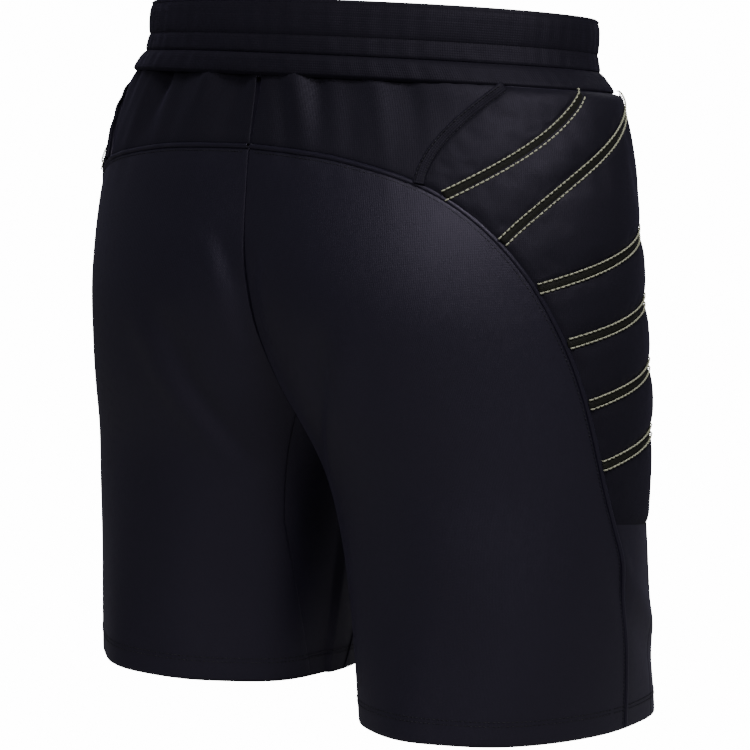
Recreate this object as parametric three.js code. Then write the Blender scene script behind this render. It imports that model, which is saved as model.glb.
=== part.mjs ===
// Padded goalkeeper-style shorts, standing open as worn.
// Millimetres. The front faces -Y, the wearer's right is -X, +Z is up and the
// origin is the centre of the waist opening.
//
// One master skin describes the garment. A point on it has a depth below the
// rim, and an angle round its own half: 0 at the outer side, 90 at the back,
// 180 at the inner thigh and -90 at the front. Every piece is a slab between
// two offsets from that skin.
import * as THREE from 'three';

// Overall sizes.
const WAIST_HALF_WIDTH = 180;
const WAIST_HALF_DEPTH = 97;
const HIP_HALF_WIDTH = 225;
const SEAT_HALF_DEPTH = 111;
const THIGH_HALF_DEPTH = 97;
const HEM_HALF_WIDTH = 213;
const HEM_HALF_DEPTH = 109;
const BODY_LENGTH = 460;
const CROTCH_DEPTH = 300;
const RIM_TILT = 0.106; // rise towards the back
const HEM_TILT_BACK = 0.044;
const HEM_TILT_OUT = 0.033;

// Waistband.
const WAISTBAND_HEIGHT = 44;
const BAND_FLARE = 0.7 * WAISTBAND_HEIGHT; // where its lowest roll starts to flare
const BAND_WALL = 1.6;
const ELASTIC_THICKNESS = 1.4;
const ELASTIC_MARGIN = 4;
const FACING_WALL = 1.2;

// Cloth, seams and trim.
const CLOTH = 1.6;
const SEAM_GAP = 0.95; // between the edges of two joined panels
const LAYER_GAP = 0.5; // between two layers
const PAD_GAP = 1.35; // between the side panel and the pad on it
const PIPING_WIDTH = 3;
const PIPING_HEIGHT = 2;
const BINDING_WIDTH = 9;
const BINDING_THICKNESS = 1.2;
const BINDING_OVERLAP = 0.3; // share of its width that lies on the pad
const HEM_FACING_HEIGHT = 20;
const HEM_FOLD_ROOM = 1.3;
const GUSSET_RISE = 38; // from the crotch up to the gusset's points
const GUSSET_HALF_ANGLE = 30;
const GUSSET_POINT_GAP = 2; // degrees between its points and the hip panels
const INSEAM_HALF_ANGLE = 9;

// Hip pad: foam cells under a quilted cover, and a tape in each groove.
const FOAM_THICKNESS = 5.6;
const COVER_WALL = 1.2;
const TAPE_WIDTH = 8;
const TAPE_THICKNESS = 0.9;
const GROOVE_HALF = TAPE_WIDTH / 2 + 0.4; // from a pad line to where the cover starts to rise
const SHOULDER = GROOVE_HALF + 4.6; // from a pad line to the foam's edge
const PAD_EDGE_ROOM = 0.03; // from the panel's edge to the cover's, as a share
const PAD_FRONT_ANGLE = -30;

// Leg swing: a level axis through both hip joints.
const HIP_AXIS_Y = 10;
const HIP_AXIS_DEPTH = 0.7 * CROTCH_DEPTH;
const PAD_FOOT = 0.69; // lower end of the pad, as a share of the length
const SWING_ROOM = 27.6; // from the pad's foot down to the swing
const SWING_RADIUS = PAD_FOOT * BODY_LENGTH + SWING_ROOM - HIP_AXIS_DEPTH;
const SWING_GAP = 0.45; // each side of the swing radius

// Colours: bluish near-black knit, olive-black tape.
const KNIT = { color: 0x17181d, roughness: 0.62, metalness: 0 };
const RIB = { color: 0x15161a, roughness: 0.7, metalness: 0 };
const TAPE = { color: 0x1d1e17, roughness: 0.75, metalness: 0 };
const FOAM = { color: 0x3b3c3f, roughness: 0.9, metalness: 0 };
const ELASTIC = { color: 0x2a2a2c, roughness: 0.85, metalness: 0 };

const LEG_LENGTH = BODY_LENGTH - CROTCH_DEPTH;
const RAD = Math.PI / 180;
const MM_PER_DEGREE = SEAT_HALF_DEPTH * RAD;
const lerp = THREE.MathUtils.lerp;

// Sections down the garment. halfWidth is to the outermost point. split is the
// centre of a half over its half width: 0 for one tube, 1 at the crotch, more
// where the legs are apart. centreY moves the section towards the back.
const SECTIONS = [
  { depth: 0, halfWidth: WAIST_HALF_WIDTH, split: 0, halfDepth: WAIST_HALF_DEPTH, centreY: 0 },
  { depth: BAND_FLARE, halfWidth: WAIST_HALF_WIDTH + 3.5, split: 0.03,
    halfDepth: WAIST_HALF_DEPTH + 0.5, centreY: 2.5 },
  { depth: 0.16 * CROTCH_DEPTH, halfWidth: WAIST_HALF_WIDTH + 19, split: 0.05,
    halfDepth: WAIST_HALF_DEPTH + 1, centreY: 4 },
  { depth: 0.36 * CROTCH_DEPTH, halfWidth: HIP_HALF_WIDTH - 8, split: 0.2,
    halfDepth: SEAT_HALF_DEPTH - 8, centreY: 13 },
  { depth: 0.6 * CROTCH_DEPTH, halfWidth: HIP_HALF_WIDTH - 2, split: 0.4,
    halfDepth: SEAT_HALF_DEPTH, centreY: 14 },
  { depth: 0.8 * CROTCH_DEPTH, halfWidth: HIP_HALF_WIDTH, split: 0.69,
    halfDepth: SEAT_HALF_DEPTH - 6, centreY: 10 },
  { depth: CROTCH_DEPTH, halfWidth: HIP_HALF_WIDTH - 1, split: 1,
    halfDepth: THIGH_HALF_DEPTH - 2, centreY: 7.5 },
  { depth: CROTCH_DEPTH + 0.5 * LEG_LENGTH, halfWidth: HIP_HALF_WIDTH - 4, split: 1.22,
    halfDepth: THIGH_HALF_DEPTH + 1, centreY: 3 },
  { depth: BODY_LENGTH, halfWidth: HEM_HALF_WIDTH, split: 1.43,
    halfDepth: HEM_HALF_DEPTH, centreY: -1.5 },
];

// Smooth curve through one column of SECTIONS, with the chord slopes averaged.
function sectionValue(key, depth) {
  const last = SECTIONS.length - 1;
  const slope = (i) => (SECTIONS[i + 1][key] - SECTIONS[i][key])
    / (SECTIONS[i + 1].depth - SECTIONS[i].depth);
  const knotSlope = (i) => {
    if (i === 0) return slope(0);
    if (i === last) return slope(last - 1);
    return (slope(i - 1) + slope(i)) / 2;
  };
  let i = 0;
  while (i < last - 1 && depth > SECTIONS[i + 1].depth) i += 1;
  const a = SECTIONS[i];
  const b = SECTIONS[i + 1];
  const span = b.depth - a.depth;
  const t = THREE.MathUtils.clamp((depth - a.depth) / span, 0, 1);
  const rise = t * t * (3 - 2 * t);
  return lerp(a[key], b[key], rise)
    + span * (t * (1 - t) ** 2 * knotSlope(i) - t * t * (1 - t) * knotSlope(i + 1));
}

function section(depth) {
  const halfWidth = sectionValue('halfWidth', depth);
  const split = sectionValue('split', depth);
  const radiusX = halfWidth / (1 + split);
  return {
    centreX: split * radiusX,
    centreY: sectionValue('centreY', depth),
    radiusX,
    radiusY: sectionValue('halfDepth', depth),
  };
}

// Point on the skin. side is -1 for the right half and 1 for the left half.
function skin(side, depth, angle, proud) {
  const { centreX, centreY, radiusX, radiusY } = section(depth);
  const outX = (radiusX + proud) * Math.cos(angle * RAD);
  const outY = (radiusY + proud) * Math.sin(angle * RAD);
  const y = centreY + outY;
  const rimShare = Math.max(0, 1 - depth / (0.83 * CROTCH_DEPTH));
  const hemShare = (depth / BODY_LENGTH) ** 2;
  const z = -depth + RIM_TILT * y * rimShare
    + hemShare * (HEM_TILT_OUT * outX + HEM_TILT_BACK * outY);
  return new THREE.Vector3(side * (centreX + outX), y, z);
}

// Angle at which a half comes within half a seam of the garment's middle, or
// 180 below the crotch, where a half is a closed tube.
function middleAngle(depth, proud) {
  const { centreX, radiusX } = section(depth);
  const cosine = (SEAM_GAP / 2 - centreX) / (radiusX + proud);
  return cosine <= -1 ? 180 : Math.acos(cosine) / RAD;
}

// Root of a falling or rising function by halving.
function solve(low, high, isPast) {
  let a = low;
  let b = high;
  for (let i = 0; i < 40; i += 1) {
    const middle = (a + b) / 2;
    if (isPast(middle)) b = middle;
    else a = middle;
  }
  return (a + b) / 2;
}

// Depth of the middle line at a given angle.
function middleDepth(angle, proud) {
  return solve(0, BODY_LENGTH, (depth) => middleAngle(depth, proud) > Math.abs(angle) - 1e-9);
}

// Depth at which the skin meets a cylinder round the hip axis.
function swingDepth(angle, proud, radius) {
  return solve(HIP_AXIS_DEPTH, BODY_LENGTH, (depth) => {
    const point = skin(1, depth, angle, proud);
    return Math.hypot(point.y - HIP_AXIS_Y, point.z + HIP_AXIS_DEPTH) > radius;
  });
}
const hipEdge = (angle, proud) => swingDepth(angle, proud, SWING_RADIUS - SWING_GAP);
const legEdge = (angle, proud) => swingDepth(angle, proud, SWING_RADIUS + SWING_GAP);

// Seam lines on the skin, as depth and angle.
const ARCH = new THREE.SplineCurve([
  [0.195, 99], [0.205, 75], [0.243, 52], [0.326, 33], [0.435, 20],
  [0.61, 9], [0.74, -1], [0.87, -6], [1, -9],
].map(([share, angle]) => new THREE.Vector2(share * BODY_LENGTH, angle)));

// Point of a seam line, moved sideways by a distance; positive is towards the
// seat on the arch.
function beside(curve, t, distance) {
  const point = curve.getPoint(t);
  const tangent = curve.getTangent(t);
  const along = new THREE.Vector2(tangent.x, tangent.y * MM_PER_DEGREE).normalize();
  return new THREE.Vector2(
    point.x - along.y * distance,
    point.y + (along.x * distance) / MM_PER_DEGREE,
  );
}

// Place on the arch, 0 at the back seam and 1 at the hem, at a given depth.
const archAt = (depth) => solve(0, 1, (t) => ARCH.getPoint(t).x > depth);
const archAngle = (depth, distance) => beside(ARCH, archAt(depth), distance).y;

// Pad lines: where each starts on the arch, as a share of the body's length,
// and where it ends, at the waistband or, by its rise for each degree, at the
// front seam. bow is how far its middle leans towards the back, in degrees.
const PAD_LINES = [
  { start: 0.232, topAngle: 32, bow: 0 },
  { start: 0.245, topAngle: 8.5, bow: -3 },
  { start: 0.302, topAngle: PAD_FRONT_ANGLE, bow: 7 },
  { start: 0.36, rise: 0.62, bow: 0 },
  { start: 0.433, rise: 0.46, bow: 0 },
  { start: 0.517, rise: 0.44, bow: 0 },
  { start: 0.604, rise: 0.41, bow: 0 },
  { start: PAD_FOOT, rise: -0.25, bow: 0 },
];
const PAD_CELLS = PAD_LINES.length - 1;

// A closed solid from points and triangles, turned to face outwards.
function closedMesh(name, finish, points, triangles) {
  let volume = 0;
  for (const [a, b, c] of triangles) {
    volume += points[a].dot(new THREE.Vector3().crossVectors(points[b], points[c]));
  }
  const order = volume > 0 ? triangles : triangles.map(([a, b, c]) => [a, c, b]);
  const geometry = new THREE.BufferGeometry();
  geometry.setAttribute('position', new THREE.Float32BufferAttribute(
    points.flatMap((point) => point.toArray()),
    3,
  ));
  geometry.setIndex(order.flat());
  geometry.computeVertexNormals();
  const mesh = new THREE.Mesh(geometry, new THREE.MeshStandardMaterial(finish));
  mesh.name = name;
  return mesh;
}

// A slab with an inner and an outer sheet of points. us and vs are the places
// of its columns and rows. pointAt takes u, v and 0 for the inner sheet or 1
// for the outer. A round slab joins its last column to its first.
function slab(name, finish, us, vs, pointAt, round = false) {
  const points = [];
  for (const layer of [0, 1]) {
    for (const u of us) {
      for (const v of vs) points.push(pointAt(u, v, layer));
    }
  }
  const triangles = [];
  const id = (layer, i, j) => (layer * us.length + (i % us.length)) * vs.length + j;
  const quad = (a, b, c, d) => triangles.push([a, b, c], [a, c, d]);
  const columns = round ? us.length : us.length - 1;
  const rows = vs.length - 1;
  for (let i = 0; i < columns; i += 1) {
    for (let j = 0; j < rows; j += 1) {
      quad(id(1, i, j), id(1, i + 1, j), id(1, i + 1, j + 1), id(1, i, j + 1));
      quad(id(0, i, j), id(0, i, j + 1), id(0, i + 1, j + 1), id(0, i + 1, j));
    }
    quad(id(0, i, 0), id(0, i + 1, 0), id(1, i + 1, 0), id(1, i, 0));
    quad(id(1, i, rows), id(1, i + 1, rows), id(0, i + 1, rows), id(0, i, rows));
  }
  if (!round) {
    for (let j = 0; j < rows; j += 1) {
      quad(id(1, 0, j), id(1, 0, j + 1), id(0, 0, j + 1), id(0, 0, j));
      quad(id(0, columns, j), id(0, columns, j + 1), id(1, columns, j + 1), id(1, columns, j));
    }
  }
  return closedMesh(name, finish, points, triangles);
}

const steps = (count) => Array.from({ length: count + 1 }, (_, i) => i / count);
const turns = (count) => Array.from({ length: count }, (_, i) => i / count);

// Blend of four edge lines, each giving depth and angle for a share and an
// offset. top and bottom run with u, left and right with v.
function patch({ top, bottom, left, right }, u, v, proud) {
  const mix = (a, b, t) => new THREE.Vector2().lerpVectors(a, b, t);
  const across = mix(left(v, proud), right(v, proud), u);
  const down = mix(top(u, proud), bottom(u, proud), v);
  const corners = mix(
    mix(top(0, proud), top(1, proud), u),
    mix(bottom(0, proud), bottom(1, proud), u),
    v,
  );
  return across.add(down).sub(corners);
}

// A cloth panel that fills four edge lines.
function panel(name, side, edges, columns, rows) {
  return slab(name, KNIT, steps(columns), steps(rows), (u, v, layer) => {
    const proud = layer ? 0 : -CLOTH;
    const place = patch(edges, u, v, proud);
    return skin(side, place.x, place.y, proud);
  });
}

// A strip of trim centred on a line of the skin, between two offsets.
function strip(name, finish, side, line, us, width, low, high) {
  return slab(name, finish, us, [-0.5, 0.5], (u, v, layer) => {
    const proud = layer ? high : low;
    const at = (t) => skin(side, line(t).x, line(t).y, proud);
    const here = line(u);
    const along = at(Math.min(1, u + 0.01)).sub(at(Math.max(0, u - 0.01)));
    const out = skin(side, here.x, here.y, proud + 1).sub(at(u));
    return at(u).addScaledVector(along.cross(out).normalize(), v * width);
  });
}

// Place round the whole garment, from 0 to 1, as a side and an angle.
function roundPoint(turn, depth, proud) {
  const heading = 360 * turn;
  const side = heading < 90 || heading > 270 ? 1 : -1;
  const quarter = side > 0 ? ((heading + 90) % 360) - 90 : 180 - heading;
  const { centreX, radiusX } = section(depth);
  const limit = Math.acos(THREE.MathUtils.clamp(-centreX / (radiusX + proud), -1, 1)) / RAD;
  return skin(side, depth, (quarter / 90) * limit, proud);
}

// A ring of the waistband. All its rings share the depths of their rows.
function waistRing(name, finish, depths, low, high) {
  return slab(name, finish, turns(40), depths, (turn, depth, layer) => (
    roundPoint(turn, depth, layer ? high : low)), true);
}

function waistband() {
  const elasticTop = -LAYER_GAP;
  const elasticBottom = elasticTop - ELASTIC_THICKNESS;
  const facingTop = elasticBottom - LAYER_GAP;
  const inner = [ELASTIC_MARGIN, 0.4 * WAISTBAND_HEIGHT, BAND_FLARE,
    WAISTBAND_HEIGHT - ELASTIC_MARGIN];
  const whole = [0, ...inner, WAISTBAND_HEIGHT];
  return [
    waistRing('waistband_outer', RIB, whole, 0, BAND_WALL),
    waistRing('waist_elastic', ELASTIC, inner, elasticBottom, elasticTop),
    waistRing('waistband_facing', KNIT, whole, facingTop - FACING_WALL, facingTop),
  ];
}

const TOP = WAISTBAND_HEIGHT + SEAM_GAP;
const SIDE_GAP = SEAM_GAP / 2 / MM_PER_DEGREE;
const at = (depth, angle) => new THREE.Vector2(depth, angle);

// Places of one half's seams.
const ARCH_TOP = ARCH.getPoint(0).x;
const ARCH_SWING = solve(0, 1, (t) => ARCH.getPoint(t).x > hipEdge(ARCH.getPoint(t).y, 0));
const ARCH_CORNER = solve(0, 1, (t) => ARCH.getPoint(t).x > PAD_LINES[0].start * BODY_LENGTH);
const GUSSET_TOP = CROTCH_DEPTH - GUSSET_RISE;
const GUSSET_BOTTOM = hipEdge(180 - GUSSET_HALF_ANGLE, 0);
const GUSSET_ROW = 0.75; // place of the gusset's point down a hip panel

// Back seam of the gusset, and of the inseam panel below it.
function gussetAngle(depth) {
  const share = (depth - GUSSET_TOP) / (GUSSET_BOTTOM - GUSSET_TOP);
  return lerp(middleAngle(GUSSET_TOP, 0), 180 - GUSSET_HALF_ANGLE, share);
}
function inseamAngle(depth) {
  const share = (depth - GUSSET_BOTTOM) / (BODY_LENGTH - GUSSET_BOTTOM);
  return 180 - lerp(GUSSET_HALF_ANGLE, INSEAM_HALF_ANGLE, share);
}

// Edge of a hip panel along the middle of the garment, then along the gusset.
// The gusset's point falls on a row of the panel.
function innerEdge(depth, proud) {
  if (depth <= GUSSET_TOP) return middleAngle(depth, proud);
  return Math.min(gussetAngle(depth) - SIDE_GAP, middleAngle(depth, proud));
}
function innerDepth(v, start, end) {
  if (v <= GUSSET_ROW) return lerp(start, GUSSET_TOP, v / GUSSET_ROW);
  return lerp(GUSSET_TOP, end, (v - GUSSET_ROW) / (1 - GUSSET_ROW));
}

// Four edges from depths and angles. A rail gives an angle for a depth; a sill
// gives a depth for an angle.
function edgesBetween(rails, sills) {
  const corner = (rail, sill, proud) => {
    let depth = sill(rail(GUSSET_TOP, proud), proud);
    for (let i = 0; i < 6; i += 1) depth = sill(rail(depth, proud), proud);
    return depth;
  };
  const alongRail = (rail) => (v, proud) => {
    const depth = lerp(corner(rail, sills[0], proud), corner(rail, sills[1], proud), v);
    return at(depth, rail(depth, proud));
  };
  const alongSill = (sill) => (u, proud) => {
    const first = rails[0](corner(rails[0], sill, proud), proud);
    const last = rails[1](corner(rails[1], sill, proud), proud);
    const angle = lerp(first, last, u);
    return at(sill(angle, proud), angle);
  };
  return {
    top: alongSill(sills[0]),
    bottom: alongSill(sills[1]),
    left: alongRail(rails[0]),
    right: alongRail(rails[1]),
  };
}

const bandSill = () => TOP;
const hemSill = () => BODY_LENGTH;
const backArchRail = (depth) => archAngle(depth, SEAM_GAP / 2);
const sideArchRail = (depth) => archAngle(depth, -SEAM_GAP / 2);

function seatPanel(name, side) {
  const edges = edgesBetween([innerEdge, backArchRail], [() => ARCH_TOP + SEAM_GAP, hipEdge]);
  const last = ARCH_SWING - 0.02;
  const { right } = edges;
  edges.top = (u, proud) => {
    const place = beside(ARCH, last * u, SEAM_GAP / 2);
    return at(place.x, Math.min(place.y, middleAngle(place.x, proud)));
  };
  edges.right = (v, proud) => {
    const depth = lerp(edges.top(1, proud).x, right(1, proud).x, v);
    return at(depth, backArchRail(depth));
  };
  const { left } = edges;
  edges.left = (v, proud) => {
    const depth = innerDepth(v, edges.top(0, proud).x, left(1, proud).x);
    return at(depth, innerEdge(depth, proud));
  };
  return panel(name, side, edges, 16, 8);
}

function bellyPanel(name, side) {
  const rails = [() => PAD_FRONT_ANGLE - SIDE_GAP, (depth, proud) => -innerEdge(depth, proud)];
  const edges = edgesBetween(rails, [bandSill, hipEdge]);
  const { right } = edges;
  edges.right = (v, proud) => {
    const depth = innerDepth(v, TOP, right(1, proud).x);
    return at(depth, -innerEdge(depth, proud));
  };
  return panel(name, side, edges, 8, 8);
}

function backYoke(name, side) {
  const corner = padLineEnd(0);
  const foot = beside(ARCH, ARCH_CORNER, -SEAM_GAP / 2);
  const bottom = (u, proud) => {
    const place = beside(ARCH, ARCH_CORNER * u, -SEAM_GAP / 2);
    return at(place.x, Math.min(place.y, middleAngle(place.x, proud)));
  };
  const edges = {
    top: (u, proud) => at(TOP, lerp(middleAngle(TOP, proud), corner.y + SIDE_GAP, u)),
    bottom,
    left: (v, proud) => {
      const depth = lerp(TOP, bottom(0, proud).x, v);
      return at(depth, middleAngle(depth, proud));
    },
    right: (v) => at(lerp(TOP, foot.x, v), lerp(corner.y + SIDE_GAP, foot.y, v)),
  };
  return panel(name, side, edges, 6, 3);
}

function crotchGusset(name, side) {
  const first = middleAngle(GUSSET_TOP, 0) + GUSSET_POINT_GAP;
  const sill = (angle, proud) => middleDepth(angle > 180 ? 360 - angle : angle, proud);
  const foot = 180 - GUSSET_HALF_ANGLE + SIDE_GAP;
  const edges = {
    top: (u, proud) => at(sill(lerp(first, 360 - first, u), proud), lerp(first, 360 - first, u)),
    bottom: (u, proud) => at(hipEdge(lerp(foot, 360 - foot, u), proud), lerp(foot, 360 - foot, u)),
  };
  const rail = (u) => (v, proud) => edges.top(u, proud).lerp(edges.bottom(u, proud), v);
  return panel(name, side, { ...edges, left: rail(0), right: rail(1) }, 8, 3);
}

function legPanel(name, side, rails, columns) {
  return panel(name, side, edgesBetween(rails, [legEdge, hemSill]), columns, 4);
}

// Pad lines fan out from the arch: line 0 is the pad's upper back edge and the
// last is its lower edge. They rise towards the front.
function padLineStart(k) {
  const depth = PAD_LINES[k].start * BODY_LENGTH;
  return at(depth, sideArchRail(depth));
}
function padLineEnd(k) {
  const { start, rise, topAngle } = PAD_LINES[k];
  const front = PAD_FRONT_ANGLE + SIDE_GAP;
  if (rise === undefined) return at(TOP, Math.max(topAngle, front));
  const depth = start * BODY_LENGTH;
  return at(depth - rise * (archAngle(depth, 0) - front), front);
}

// Place in the pad at q, from the arch to the border, and w in cells. Past the
// last line, w runs on to the swing edge.
function padPlace(q, w, proud) {
  const k = THREE.MathUtils.clamp(Math.floor(w), 0, PAD_CELLS - 1);
  const inner = Math.min(w, PAD_CELLS) - k;
  const depth = lerp(padLineStart(k).x, padLineStart(k + 1).x, inner);
  const border = padLineEnd(k).lerp(padLineEnd(k + 1), inner);
  const place = at(depth, sideArchRail(depth)).lerp(border, q);
  const bow = lerp(PAD_LINES[k].bow, PAD_LINES[k + 1].bow, inner);
  place.y += bow * 4 * q * (1 - q);
  if (w <= PAD_CELLS) return place;
  const first = sideArchRail(ARCH.getPoint(ARCH_SWING).x);
  const angle = lerp(first, PAD_FRONT_ANGLE + SIDE_GAP, q);
  return place.lerp(at(hipEdge(angle, proud), angle), w - PAD_CELLS);
}

// Shares along a pad line at which the pad is shaped.
const PAD_Q = [0.08, 0.25, 0.42, 0.6, 0.76, 0.92];
const COVER_Q = [PAD_EDGE_ROOM, ...PAD_Q, 1 - PAD_EDGE_ROOM];

// Rows across a cell: how far each lies from its pad line, the most it may take
// of a narrow cell, and how much of the full height the cover has there.
const CELL_ROWS = [
  { inset: GROOVE_HALF, most: 0.34, lift: 0 },
  { inset: SHOULDER, most: 0.42, lift: 0.75 },
  { inset: Infinity, most: 0.5, lift: 1 },
  { inset: SHOULDER, most: 0.42, lift: 0.75, far: true },
  { inset: GROOVE_HALF, most: 0.34, lift: 0, far: true },
];
const FOAM_ROWS = CELL_ROWS.slice(1, -1);
const onLine = (k) => ({ k, inset: 0, most: 0, lift: 0 });
const inCell = (k, rows) => rows.map((row) => ({ k, ...row }));

// Place of a row at q, in cells. An inset is square to its pad line.
function rowPlace(q, { k, inset, most, far }) {
  if (most === 0) return k;
  const line = far ? k + 1 : k;
  const flat = (place) => at(place.x, place.y * MM_PER_DEGREE);
  const along = flat(padPlace(q + 0.01, line, 0)).sub(flat(padPlace(q - 0.01, line, 0)));
  const across = flat(padPlace(q, k + 1, 0)).sub(flat(padPlace(q, k, 0)));
  const share = Math.min((inset * along.length()) / Math.abs(along.cross(across)), most);
  return far ? k + 1 - share : k + share;
}

function padPoint(side, q, row, proud) {
  const place = padPlace(q, rowPlace(q, row), proud);
  return skin(side, place.x, place.y, proud);
}

function sidePanel(name, side) {
  const rows = [];
  for (let k = 0; k < PAD_CELLS; k += 1) rows.push(onLine(k), ...inCell(k, FOAM_ROWS));
  rows.push(onLine(PAD_CELLS), onLine(PAD_CELLS + 1));
  return slab(name, KNIT, [0, ...PAD_Q, 1], rows, (q, row, layer) => (
    padPoint(side, q, row, layer ? 0 : -CLOTH)));
}

// The first cell is too narrow at its foot for foam.
const padQ = (k) => PAD_Q.slice(k < 1 ? 1 : 0);

// Height of the cover's inner face over the side panel.
function coverLift(q, row) {
  const isEdge = q < padQ(row.k)[0] || q > PAD_Q.at(-1);
  return PAD_GAP + (isEdge ? 0 : row.lift * (FOAM_THICKNESS + 2 * LAYER_GAP));
}

function padCover(name, side) {
  const rows = [onLine(PAD_EDGE_ROOM)];
  for (let k = 0; k < PAD_CELLS; k += 1) rows.push(...inCell(k, CELL_ROWS));
  rows.push(onLine(PAD_CELLS - PAD_EDGE_ROOM));
  return slab(name, KNIT, COVER_Q, rows, (q, row, layer) => (
    padPoint(side, q, row, coverLift(q, row) + layer * COVER_WALL)));
}

function foamCell(name, side, k) {
  return slab(name, FOAM, padQ(k), inCell(k, FOAM_ROWS), (q, row, layer) => (
    padPoint(side, q, row, layer ? coverLift(q, row) - 2 * LAYER_GAP : PAD_GAP)));
}

// A band of trim on the cover along pad line k, reaching back and ahead of it.
function padTrim(name, finish, side, k, qs, back, ahead, thickness) {
  const rows = [{ k: Math.max(0, k - 1), inset: back, most: 0.3, far: k > 0 },
    { k, inset: ahead, most: 0.3 }];
  const low = PAD_GAP + COVER_WALL + LAYER_GAP;
  return slab(name, finish, qs, rows, (q, row, layer) => (
    padPoint(side, q, row, low + layer * thickness)));
}

function channelTape(name, side, k) {
  const half = TAPE_WIDTH / 2;
  return padTrim(name, TAPE, side, k, COVER_Q, half, half, TAPE_THICKNESS);
}

function padBinding(name, side) {
  return padTrim(name, KNIT, side, 0, PAD_Q, -BINDING_WIDTH * (1 - BINDING_OVERLAP),
    BINDING_WIDTH * BINDING_OVERLAP, BINDING_THICKNESS);
}

function archPiping(name, side) {
  const line = (t) => beside(ARCH, t, 0);
  const first = solve(0, 1, (t) => ARCH.getPoint(t).y < middleAngle(ARCH.getPoint(t).x, 0) - 1);
  const us = steps(24).map((u) => lerp(first, ARCH_SWING - 0.01, u));
  return strip(name, RIB, side, line, us, PIPING_WIDTH, LAYER_GAP, LAYER_GAP + PIPING_HEIGHT);
}

function hemFacing(name, side) {
  const high = -CLOTH - HEM_FOLD_ROOM;
  return slab(name, KNIT, turns(28), steps(1), (turn, v, layer) => (
    skin(side, BODY_LENGTH - HEM_FACING_HEIGHT * (1 - v), 360 * turn,
      layer ? high : high - FACING_WALL)), true);
}

function half(name, side) {
  const backInseam = (depth) => inseamAngle(depth) - SIDE_GAP;
  const frontInseam = (depth) => -inseamAngle(depth) + SIDE_GAP;
  const padFront = () => PAD_FRONT_ANGLE - SIDE_GAP;
  const pieces = [
    backYoke(`back_yoke_${name}`, side),
    seatPanel(`seat_panel_${name}`, side),
    bellyPanel(`belly_panel_${name}`, side),
    crotchGusset(`crotch_gusset_${name}`, side),
    sidePanel(`side_panel_${name}`, side),
    padCover(`hip_pad_cover_${name}`, side),
    padBinding(`pad_binding_${name}`, side),
    archPiping(`arch_piping_${name}`, side),
    legPanel(`thigh_back_${name}`, side, [backArchRail, backInseam], 14),
    legPanel(`thigh_front_${name}`, side, [padFront, frontInseam], 12),
    legPanel(`side_strip_${name}`, side, [sideArchRail, () => PAD_FRONT_ANGLE + SIDE_GAP], 3),
    legPanel(`inseam_panel_${name}`, side, [
      (depth) => inseamAngle(depth) + SIDE_GAP,
      (depth) => 360 - inseamAngle(depth) - SIDE_GAP,
    ], 4),
    hemFacing(`hem_facing_${name}`, side),
  ];
  for (let k = 0; k < PAD_CELLS; k += 1) {
    pieces.push(foamCell(`foam_cell_${k + 1}_${name}`, side, k));
  }
  for (let k = 1; k < PAD_CELLS; k += 1) {
    pieces.push(channelTape(`channel_tape_${k}_${name}`, side, k));
  }
  return pieces;
}

const shorts = new THREE.Group();
shorts.add(...waistband(), ...half('right', -1), ...half('left', 1));

export default shorts;
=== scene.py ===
import math

import bpy
import numpy as np
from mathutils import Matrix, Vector


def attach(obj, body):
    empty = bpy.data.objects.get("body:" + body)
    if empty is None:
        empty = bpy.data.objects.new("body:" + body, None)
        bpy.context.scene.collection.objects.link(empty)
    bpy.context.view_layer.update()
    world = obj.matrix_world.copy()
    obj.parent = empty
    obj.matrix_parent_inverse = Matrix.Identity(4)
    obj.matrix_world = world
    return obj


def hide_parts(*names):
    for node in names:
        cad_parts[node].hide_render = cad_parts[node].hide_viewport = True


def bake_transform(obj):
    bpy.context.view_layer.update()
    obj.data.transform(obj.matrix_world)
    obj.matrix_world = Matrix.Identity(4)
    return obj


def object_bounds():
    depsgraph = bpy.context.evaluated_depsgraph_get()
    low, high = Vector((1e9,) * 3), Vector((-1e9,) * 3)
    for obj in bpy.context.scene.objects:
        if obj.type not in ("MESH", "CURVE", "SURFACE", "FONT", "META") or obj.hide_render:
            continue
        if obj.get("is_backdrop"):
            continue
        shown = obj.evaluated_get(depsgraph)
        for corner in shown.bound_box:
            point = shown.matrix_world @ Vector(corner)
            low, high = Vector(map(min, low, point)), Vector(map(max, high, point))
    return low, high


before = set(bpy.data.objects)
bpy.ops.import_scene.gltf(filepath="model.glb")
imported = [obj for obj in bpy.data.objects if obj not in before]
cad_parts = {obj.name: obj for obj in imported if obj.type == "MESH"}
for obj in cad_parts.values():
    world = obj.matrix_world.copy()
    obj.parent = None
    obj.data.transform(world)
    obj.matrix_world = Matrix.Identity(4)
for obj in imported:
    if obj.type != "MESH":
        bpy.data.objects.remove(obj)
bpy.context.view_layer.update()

bl_info = {
    "name": "Padded Goalkeeper Shorts",
    "version": (1, 0, 0),
    "blender": (4, 5, 0),
    "location": "View3D > Sidebar > Shorts",
    "description": "Knee-length padded sports shorts with a ribbed waistband and quilted hip pads",
    "category": "Add Mesh",
}

MM = 0.001
SIDES = (("right", -1), ("left", 1))

# The block the cloth is cut to, in millimetres: depth below the rim, half
# width, how far a half's centre stands out as a share of its half width, half
# depth, and how far the section lies towards the back.
BLOCK = np.array([
    (0, 180, 0, 97, 0),
    (30.8, 183.5, 0.03, 97.5, 2.5),
    (48, 199, 0.05, 98, 4),
    (108, 217, 0.2, 103, 13),
    (180, 223, 0.4, 111, 14),
    (240, 225, 0.69, 105, 10),
    (300, 224, 1, 95, 7.5),
    (380, 221, 1.22, 98, 3),
    (460, 213, 1.43, 109, -1.5),
], float)
LENGTH = 460.0
CROTCH = 300.0
BAND = 44.0
TOP = 44.8
MM_PER_DEGREE = 111 * math.pi / 180

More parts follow.
